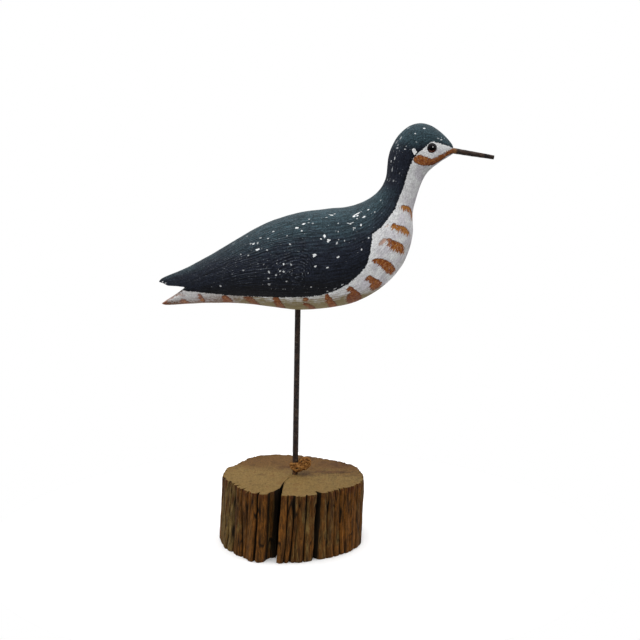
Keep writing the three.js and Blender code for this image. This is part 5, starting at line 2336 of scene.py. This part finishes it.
    def columns(self) -> tuple[Array, Array, Array]:
        """The log's outline, as columns round it.

        Returns:
            The angle of each column with the crack straightened, its radius at the outline, and
            whether it stands in the crack's wall.
        """
        mouth = math.degrees(self.crack[0].half / self.crack[0].radius)
        start = self.crack[0].angle + mouth
        fine = np.linspace(start, start + 360 - 2 * mouth, 9000)
        radius = self.smooth_radius(fine) - self.furrow_depth(fine, self.height)
        x, y = radius * np.cos(np.radians(fine)), radius * np.sin(np.radians(fine))
        length = np.concatenate([[0], np.cumsum(np.hypot(np.diff(x), np.diff(y)))])
        rim = np.interp(np.linspace(0, length[-1], self.rim_columns), length, fine)
        rim_radius = self.smooth_radius(rim) - self.sunk(rim)
        inward = np.linspace(rim_radius[-1], self.crack[-1].radius, self.wall_columns + 1)[1:]
        back_out = np.linspace(self.crack[-1].radius, rim_radius[0], self.wall_columns + 1)[1:-1]
        middle = self.crack[0].angle + 360
        angles = np.concatenate([rim, middle - self.half(inward), middle + self.half(back_out)])
        in_wall = np.concatenate([np.zeros(len(rim)), np.ones(len(inward) + len(back_out))])
        return angles, np.concatenate([rim_radius, inward, back_out]), in_wall

    def half(self, radii: Array) -> Array:
        """Half the crack's opening in degrees, at some distances from the centre."""
        places = [(place.radius, math.degrees(place.half / place.radius)) for place in self.crack[::-1]]
        return np.interp(radii, *zip(*places))

    def in_sunken(self, angles: Array) -> tuple[Array, Array]:
        """Find the sunken rib.

        Args:
            angles: Angles in degrees from +X.

        Returns:
            How far each lies in the rib, from 0 to 1, and how near to its deepest part.
        """
        in_turn = self.turn_between(angles, self.sunken.start)
        whole = self.sunken.end - self.sunken.start
        inside = smoothstep(in_turn, -0.1, 0.6) * (in_turn < whole)
        return inside, np.clip(in_turn / (whole - self.sunken.flat), 0, 1)

    def sunk(self, angles: Array) -> Array:
        """How far the surface lies back beside the crack."""
        inside, near = self.in_sunken(angles)
        return inside * (self.sunken.depth + (self.sunken.deepest - self.sunken.depth) * near**1.4)

    def bend(self, angles: Array, radii: Array) -> Array:
        """Bend straightened angles so that the crack takes its own line.

        Args:
            angles: Straightened angles in degrees.
            radii: Their distances from the centre.

        Returns:
            The bent angles.
        """
        places = self.crack[::-1]
        turns = [place.angle - self.crack[0].angle for place in places]
        turn = np.interp(radii, [place.radius for place in places], turns)
        near = np.exp(-((self.turn_between(angles, self.crack[0].angle) / self.bend_reach) ** 2))
        return angles + turn * near

    def ring(self, angles: Array, radii: Array, height: float) -> Array:
        """One ring of the log.

        Args:
            angles: The columns' straightened angles.
            radii: Their radii at the top.
            height: The ring's level.

        Returns:
            The ring's points.
        """
        down = 1 - height / self.height
        away = self.turn_between(angles, self.crack[0].angle)
        angles = angles - away * self.crack_closing * down * np.exp(-((away / 4.0) ** 2))
        bent = self.bend(angles, radii)
        at_rim = np.clip((radii - 8) / (self.crack[0].radius - 8), 0, 1)
        turned_ = np.radians(bent + self.drift(bent, height) * at_rim)
        spread = 0.0
        for at, half, more in self.foot_spread:
            spread = spread + more * np.exp(-((self.turn_between(bent, at) / half) ** 2))
        wide = radii * (1 + (self.flare - 1 + spread / self.crack[0].radius) * down)
        x = self.centre[0] - self.lean * (self.height - height) + wide * np.cos(turned_)
        y = self.centre[1] + wide * np.sin(turned_)
        return np.column_stack([x, y, np.full(len(x), height)])

    def split_depth(self, arc: Array, level: Array) -> Array:
        """Find the fine splits along the fibres, which open and close again.

        Args:
            arc: Places round the log.
            level: The height, as a row.

        Returns:
            How far each place lies in a split, from 0 to 1.
        """
        from_middle = np.abs(self.wobbles[2].at((arc + level * 0.05) / 2.3 + level / 80.0))
        is_open = smoothstep(self.wobbles[3].at(arc / 7.0 + level / 12.0), -0.4, 0.0)
        return np.clip(1 - from_middle / self.split_width, 0, 1) * is_open

    def weathered(
        self, angles: Array, radii: Array, in_wall: Array, height: float
    ) -> tuple[Array, Array]:
        """Wear the side at one height, and find its painted shade.

        Args:
            angles: The columns' angles.
            radii: Their radii without furrows.
            in_wall: Whether each stands in the crack's wall.
            height: The height.

        Returns:
            The worn radii, and how much painted shade each place gets in furrows, splits, the sunken rib
            and the crack, from 0 to 1.
        """
        arc = compass(angles) * self.noise_radius
        level = np.array([0, 0, height])
        sunken = self.sunken
        furrow = self.furrow_depth(angles, height)
        split = self.split_depth(arc, level)
        lumps = self.wobbles[4].layered(arc / 4.2 + level / 15.0, 2)
        fibres = self.wobbles[5].layered(arc / 1.3 + level / 24.0, 2)
        flakes = self.wobbles[6].layered(arc / 2.4 + level / 7.0, 2)
        inside, near = self.in_sunken(angles)
        fill = sunken.foot_fill * (1 - height / self.height)
        relief = furrow + self.split_cut * split + self.worn_back
        relief = relief - self.lump_height * lumps - self.fibre_height * fibres
        relief += inside * (self.flake_height * flakes - near**1.4 * fill)
        from_rim = min(height, self.height - height)
        chips = self.wobbles[6].layered(arc / 3.5 + 9.0 * (height > self.height / 2), 2)
        chips = self.rim_wear + self.chip * smoothstep(chips, 0.0, 0.7)
        relief += chips * max(0.0, 1 - from_rim / (1.5 * self.rim_height)) ** 2
        # Painted shade on the sunken rib, blackest near its deep end by the crack.
        sunken_shade = 0.36 + 0.66 * smoothstep(near, 0.42, 0.66) - 0.25 * flakes
        from_edge = self.turn_between(angles, sunken.start) - sunken.edge_at
        # Painted shade: furrows and splits go near black, and a painted shadow line lies where the
        # sunken rib steps back.
        dark = (furrow / 2.4) ** 2 + 0.95 * split + inside * sunken_shade
        dark += 0.66 * np.exp(-((from_edge / sunken.edge_half) ** 2))
        dark = np.minimum(dark, 1.0) * (1 - in_wall)
        # Painted shade, deeper inside the crack.
        in_crack = in_wall * smoothstep(radii.max() - radii, 3.0, 11.0)
        return radii - relief * (1 - in_wall), dark + in_crack

    def build(self) -> bpy.types.Object:
        """Saw and weather the slice.

        Returns:
            The finished piece.
        """
        angles, radii, in_wall = self.columns()
        rings: list[Array] = []
        sawn: list[float] = []
        dark: list[Array] = []
        top = self.height
        edge = np.array([0.0, 0.3, 0.9])
        side = np.linspace(self.rim_height, top - self.rim_height, self.side_rings)
        levels = np.concatenate([edge, side, top - edge[::-1]])
        foot, _ = self.weathered(angles, radii, in_wall, 0.0)
        for share in np.linspace(0.02, 1, self.end_rings // 4)[:-1]:
            rings.append(self.ring(self.evened(angles, share), foot * share, 0.0))
            sawn.append(1.0)
            dark.append(np.zeros(len(angles)))
        for level in levels:
            worn, depth = self.weathered(angles, radii, in_wall, level)
            rings.append(self.ring(angles, worn, level))
            sawn.append(float(min(level, top - level) < 0.2))
            dark.append(depth * (1 - sawn[-1] * (1 - in_wall)))
        for share in np.linspace(1, 0, self.end_rings)[1:]:
            rings.append(self.top_ring(angles, worn, share))
            sawn.append(1.0)
            dark.append(np.zeros(len(angles)))
        bore = ROD.diameter / 2 + ROD.fit_gap
        floor = top - self.socket_depth - ROD.fit_gap
        for level in (top - 0.6, top - 12.0, floor):
            rings.append(self.about_rod(self.evened(angles, 0), np.full(len(angles), bore), level))
            sawn.append(0.0)
            # The rod's hole is painted near black as painted shade.
            dark.append(np.full(len(angles), 0.9))
        start = np.array([self.centre[0] - self.lean * top, self.centre[1], 0.0])
        piece = Skin.through(rings, start, ROD.at(floor)).mesh("log_slice")
        store(piece.data, "sawn", np.concatenate([np.repeat(sawn, len(angles)), [1.0, 0.0]]))
        # furrow holds how much painted shade each place gets.
        store(piece.data, "furrow", np.concatenate([*dark, [0.0, 0.9]]))
        tint = np.tile(self.rib_tint(angles), len(rings))
        store(piece.data, "tint", np.concatenate([tint, [0.0, 0.0]]))
        shade(piece, 60)
        return hand_over(piece, OldLog().material(), Slot.WEATHERED_LOG, "log_base")

    def evened(self, angles: Array, share: float) -> Array:
        """The columns' angles, spread evenly towards the middle of an end."""
        even = angles[0] + np.arange(len(angles)) / len(angles) * 360
        return even + (angles - even) * smoothstep(share, 0, 0.9)

    def about_rod(self, angles: Array, radii: Array, level: float) -> Array:
        """A level ring about the rod's line."""
        return ROD.at(level) + compass(angles) * radii[:, None]

    def top_ring(self, angles: Array, radii: Array, share: float) -> Array:
        """Lay a ring of the sawn top.

        Args:
            angles: The columns' angles.
            radii: The rim's radii.
            share: The ring's place, from the rod's hole at 0 to the rim at 1.

        Returns:
            The ring's points.
        """
        bore = ROD.diameter / 2 + ROD.fit_gap
        spread = self.evened(angles, share)
        reach = bore + (radii - bore) * share
        near = np.clip((reach - bore) / 7.5, 0, 1)[:, None]
        ring = self.ring(spread, reach, self.height) * near
        ring += self.about_rod(spread, reach, self.height) * (1 - near)
        relief = 0.14 * self.wobbles[4].layered(ring / np.array([6.0, 2.0, 1.0]), 3)
        relief += 0.3 * self.wobbles[5].at(ring / 17.0) - 0.32
        fade = smoothstep(share, 0, 0.15) * smoothstep(1 - reach / radii, -0.001, 0.03)
        ring[:, 2] += relief * fade
        return ring

    def rib_tint(self, angles: Array) -> Array:
        """Find the rib that each column belongs to.

        Args:
            angles: The columns' angles.

        Returns:
            The rib's tint, from -1 to 1.
        """
        order = sorted(self.furrows, key=lambda furrow: furrow.angle % 360)
        starts = [furrow.angle % 360 for furrow in order]
        rib = np.searchsorted(starts, angles % 360, side="right") - 1
        tint = np.array([furrow.rib for furrow in order])[rib]
        return np.where(self.in_sunken(angles)[0] > 0.5, -0.3, tint)


# The twine


@dataclass
class TwineKnot:
    """Turns of laid twine round the rod's foot, with the tangle of loose loops beside them."""

    radius: float = 1.1
    plies: int = 3
    ply_share: float = 0.54
    lay: float = 5.4
    wrap_heights: tuple[float, ...] = (65.9, 67.9)
    wrap_tilt: float = 8.0
    wrap_steps: int = 28
    fibres: float = 1.1
    fibre_radius: float = 0.055
    ply_sides: int = 9
    step: float = 0.45
    loops: tuple[tuple[Triple, ...], ...] = (
        ((-2.6, -0.6, 67.2), (-1.9, -2.9, 68), (0.5, -4.1, 68.5), (3.2, -3.8, 68.2), (5.2, -2.6, 69.6),
         (6.8, -1.5, 71.4), (9, -0.9, 72.3), (12, -0.9, 71.9), (14.2, -0.7, 70.6), (14.3, -0.8, 68.7),
         (12.8, -1.6, 67.4), (10.6, -2.8, 68), (7.6, -4, 68.4), (4.6, -4.9, 67.5), (2, -4.9, 66.8),
         (-0.6, -4.1, 66), (-2.3, -2.4, 65.5)),
        ((1, -4.9, 66), (3.4, -5.9, 66.7), (6.2, -5.8, 66), (7.4, -5.2, 64.5), (5.8, -5, 63),
         (3.2, -4.9, 62.3), (1, -4.6, 63), (0.2, -4.4, 64.6), (1.4, -5.4, 65.4)),
        ((1.6, -4.9, 62.5), (6, -4.4, 62.8), (8.6, -4.2, 64), (11, -3.6, 65), (13.4, -2.8, 66.2),
         (14.5, -2, 68), (12.8, -2.4, 69.8), (9.6, -3.4, 69.7), (7.2, -4.6, 67.4), (8, -5.4, 65.6),
         (10.6, -4.8, 64.3)),
        ((4, 2.8, 69), (7, 2.2, 71.4), (10.5, 1.6, 72.4), (13.4, 1.2, 71), (13, 0.6, 68.4),
         (9.6, 1, 66.8), (5.6, 2.4, 66)),
        ((7.2, -0.4, 70.2), (8.6, -2, 71.6), (10.2, -3.4, 70.6), (10.4, -4.4, 68.2), (9.2, -5.2, 66.4),
         (8.8, -4.6, 64.2), (10.4, -2.6, 63.6), (12.2, -1.4, 65)),
        ((-2.6, -0.8, 66), (-1.6, -3.4, 64.8), (0.2, -4.6, 63.6), (2.6, -5.6, 63.2), (5, -5.9, 64.4),
         (6.4, -5.2, 66.2), (8.4, -3.4, 67), (11.2, -1.4, 66.6), (13.2, 0, 67.2)),
        ((5.4, -3.2, 67), (7.2, -4.4, 69.2), (9.8, -4.4, 70.4), (12, -3.2, 70.2), (12.6, -2.6, 68.4),
         (11.2, -3.6, 66.8), (8.8, -4.6, 67.2), (8.2, -3.6, 69)),
    )

    def paths(self) -> list[Array]:
        """Lay out the middle lines of all strands.

        Returns:
            Rows of places for each strand.
        """
        paths = []
        reach = ROD.diameter / 2 + ROD.fit_gap + self.radius
        for number, height in enumerate(self.wrap_heights):
            turn = np.arange(self.wrap_steps + 1) / self.wrap_steps * 2 * math.pi
            tilt = math.radians(self.wrap_tilt) * (1 if number % 2 == 0 else -1)
            y, z = reach * np.sin(turn) * math.cos(tilt), reach * np.sin(turn) * math.sin(tilt)
            paths.append(ROD.at(height) + np.column_stack([reach * np.cos(turn), y, z]))
        for loop in self.loops:
            paths.append(smooth_through(np.array(loop), np.linspace(0, 1, 10 * len(loop))))
        return paths

    def curve(self) -> bpy.types.Object:
        """Make one curve object of the strands' middle lines.

        Returns:
            The object.
        """
        data = bpy.data.curves.new("twine_path", "CURVE")
        data.dimensions = "3D"
        for path in self.paths():
            spline = data.splines.new("POLY")
            spline.points.add(len(path) - 1)
            spline.points.foreach_set("co", np.column_stack([path * MM, np.ones(len(path))]).ravel())
        return linked("twine_path", data)

    def tree(self, material: bpy.types.Material) -> bpy.types.GeometryNodeTree:
        """Geometry nodes that lay the plies round each path and let loose fibres stand out.

        Args:
            material: The twine's finish.

        Returns:
            The tree, with its sizes as named inputs.
        """
        tree = bpy.data.node_groups.new("laid_twine", "GeometryNodeTree")
        tree.interface.new_socket("Geometry", in_out="OUTPUT", socket_type="NodeSocketGeometry")
        tree.interface.new_socket("Geometry", in_out="INPUT", socket_type="NodeSocketGeometry")
        for name in ("Ply Radius", "Ply Offset", "Lay Length", "Fibre Spacing"):
            tree.interface.new_socket(name, in_out="INPUT", socket_type="NodeSocketFloat")
        nodes = Nodes(tree)
        start = nodes.add("NodeGroupInput").outputs
        even = {"Curve": start["Geometry"], "Length": self.step * MM}
        even = nodes.add("GeometryNodeResampleCurve", even, mode="LENGTH").outputs[0]
        plies = self.laid_plies(nodes, start, even)
        section = {"Resolution": self.ply_sides, "Radius": start["Ply Radius"]}
        section = nodes.add("GeometryNodeCurvePrimitiveCircle", section, mode="RADIUS").outputs[0]
        join = nodes.add("GeometryNodeJoinGeometry")
        for ply in plies:
            swept = {"Curve": ply, "Profile Curve": section, "Fill Caps": True}
            tree.links.new(nodes.add("GeometryNodeCurveToMesh", swept).outputs[0], join.inputs[0])
        tree.links.new(self.loose_fibres(nodes, start, plies[0]), join.inputs[0])
        real = nodes.add("GeometryNodeRealizeInstances", {0: join.outputs[0]}).outputs[0]
        finish = nodes.add("GeometryNodeSetMaterial", {"Geometry": real, "Material": material})
        nodes.add("NodeGroupOutput", {0: finish.outputs[0]})
        return tree

    def laid_plies(self, nodes: Nodes, start: bpy.types.NodeOutputs, path: Socket) -> list[Socket]:
        """Wind the plies round the middle lines.

        Args:
            nodes: The tree that is added to.
            start: The tree's named inputs.
            path: The middle lines.

        Returns:
            The middle lines of each ply.
        """
        normal = nodes.add("GeometryNodeInputNormal").outputs[0]
        tangent = nodes.add("GeometryNodeInputTangent").outputs[0]
        side = nodes.vector("CROSS_PRODUCT", tangent, normal).outputs[0]
        along = nodes.add("GeometryNodeSplineParameter").outputs["Length"]
        turn = nodes.math("MULTIPLY", nodes.math("DIVIDE", along, start["Lay Length"]), 2 * math.pi)
        plies = []
        for ply in range(self.plies):
            angle = nodes.math("ADD", turn, ply / self.plies * 2 * math.pi)
            out = nodes.sized(normal, nodes.math("COSINE", angle))
            over = nodes.sized(side, nodes.math("SINE", angle))
            offset = nodes.sized(nodes.vector("ADD", out, over).outputs[0], start["Ply Offset"])
            moved = nodes.add("GeometryNodeSetPosition", {"Geometry": path, "Offset": offset})
            plies.append(moved.outputs[0])
        return plies

    def loose_fibres(self, nodes: Nodes, start: bpy.types.NodeOutputs, ply: Socket) -> Socket:
        """Let curved fibres stand out of one ply.

        Args:
            nodes: The tree that is added to.
            start: The tree's named inputs.
            ply: The ply's middle lines.

        Returns:
            The fibres.
        """
        curve = nodes.add("GeometryNodeCurveQuadraticBezier", {
            "Resolution": 5, "Start": (0.0, 0.0, 0.0), "Middle": (0.0006, 0.0, 0.0011),
            "End": (0.0018, 0.0003, 0.0012),
        }).outputs[0]
        section = {"Resolution": 3, "Radius": self.fibre_radius * MM}
        section = nodes.add("GeometryNodeCurvePrimitiveCircle", section, mode="RADIUS").outputs[0]
        fibre = {"Curve": curve, "Profile Curve": section, "Fill Caps": True}
        fibre = nodes.add("GeometryNodeCurveToMesh", fibre).outputs[0]
        roots = {"Curve": ply, "Length": start["Fibre Spacing"]}
        roots = nodes.add("GeometryNodeCurveToPoints", roots, mode="LENGTH").outputs[0]
        spin = {0: (0.0, 0.0, 0.0), 1: (6.28, 6.28, 6.28), "Seed": 5}
        spin = nodes.add("FunctionNodeRandomValue", spin, data_type="FLOAT_VECTOR").outputs[0]
        size = {2: 0.5, 3: 1.3, "Seed": 8}
        size = nodes.add("FunctionNodeRandomValue", size, data_type="FLOAT").outputs[1]
        stood = {"Points": roots, "Instance": fibre, "Rotation": spin, "Scale": size}
        return nodes.add("GeometryNodeInstanceOnPoints", stood).outputs[0]

    def build(self) -> bpy.types.Object:
        """Lay the twine.

        Returns:
            The finished piece.
        """
        material = TwineFibre().material()
        path = self.curve()
        tree = self.tree(material)
        modifier = path.modifiers.new("laid_twine", "NODES")
        modifier.node_group = tree
        ply = self.radius * self.ply_share
        sizes = {
            "Ply Radius": ply * MM, "Ply Offset": (self.radius - ply) * MM,
            "Lay Length": self.lay * MM, "Fibre Spacing": self.fibres * MM,
        }
        for item in tree.interface.items_tree:
            if item.item_type == "SOCKET" and item.in_out == "INPUT" and item.name in sizes:
                modifier[item.identifier] = sizes[item.name]
        graph = bpy.context.evaluated_depsgraph_get()
        mesh = bpy.data.meshes.new_from_object(path.evaluated_get(graph))
        path.modifiers.clear()
        piece = linked("laid_twine", mesh)
        bpy.data.objects.remove(path)
        outward(mesh)
        shade(piece, 60)
        return hand_over(piece, material, Slot.TWINE, "twine_knot")


def write_sizes() -> None:
    """Measure the box of the solids and the box of the finished object."""
    boxes = {"cad": cad_box, "visual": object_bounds()}
    boxes = {name: [list(corner) for corner in box] for name, box in boxes.items()}


def main() -> None:
    """Build the studio and every piece of the decoy."""
    logging.basicConfig(level=logging.INFO, format="%(name)s %(message)s")
    viewpoint = Viewpoint()
    viewpoint.place_camera()
    glass = EyeGlass().material()
    eyes = [GlassEye(EyeSeat(side), glass) for side in Side]
    parts = [CarvedBird(viewpoint), Bill(), *eyes, Rod(), LogSlice(), TwineKnot()]
    pieces = [part.build() for part in parts]
    Studio().build([piece for piece in pieces if piece.name.startswith("glass_eye")])
    write_sizes()


if __name__ == "__main__":
    main()
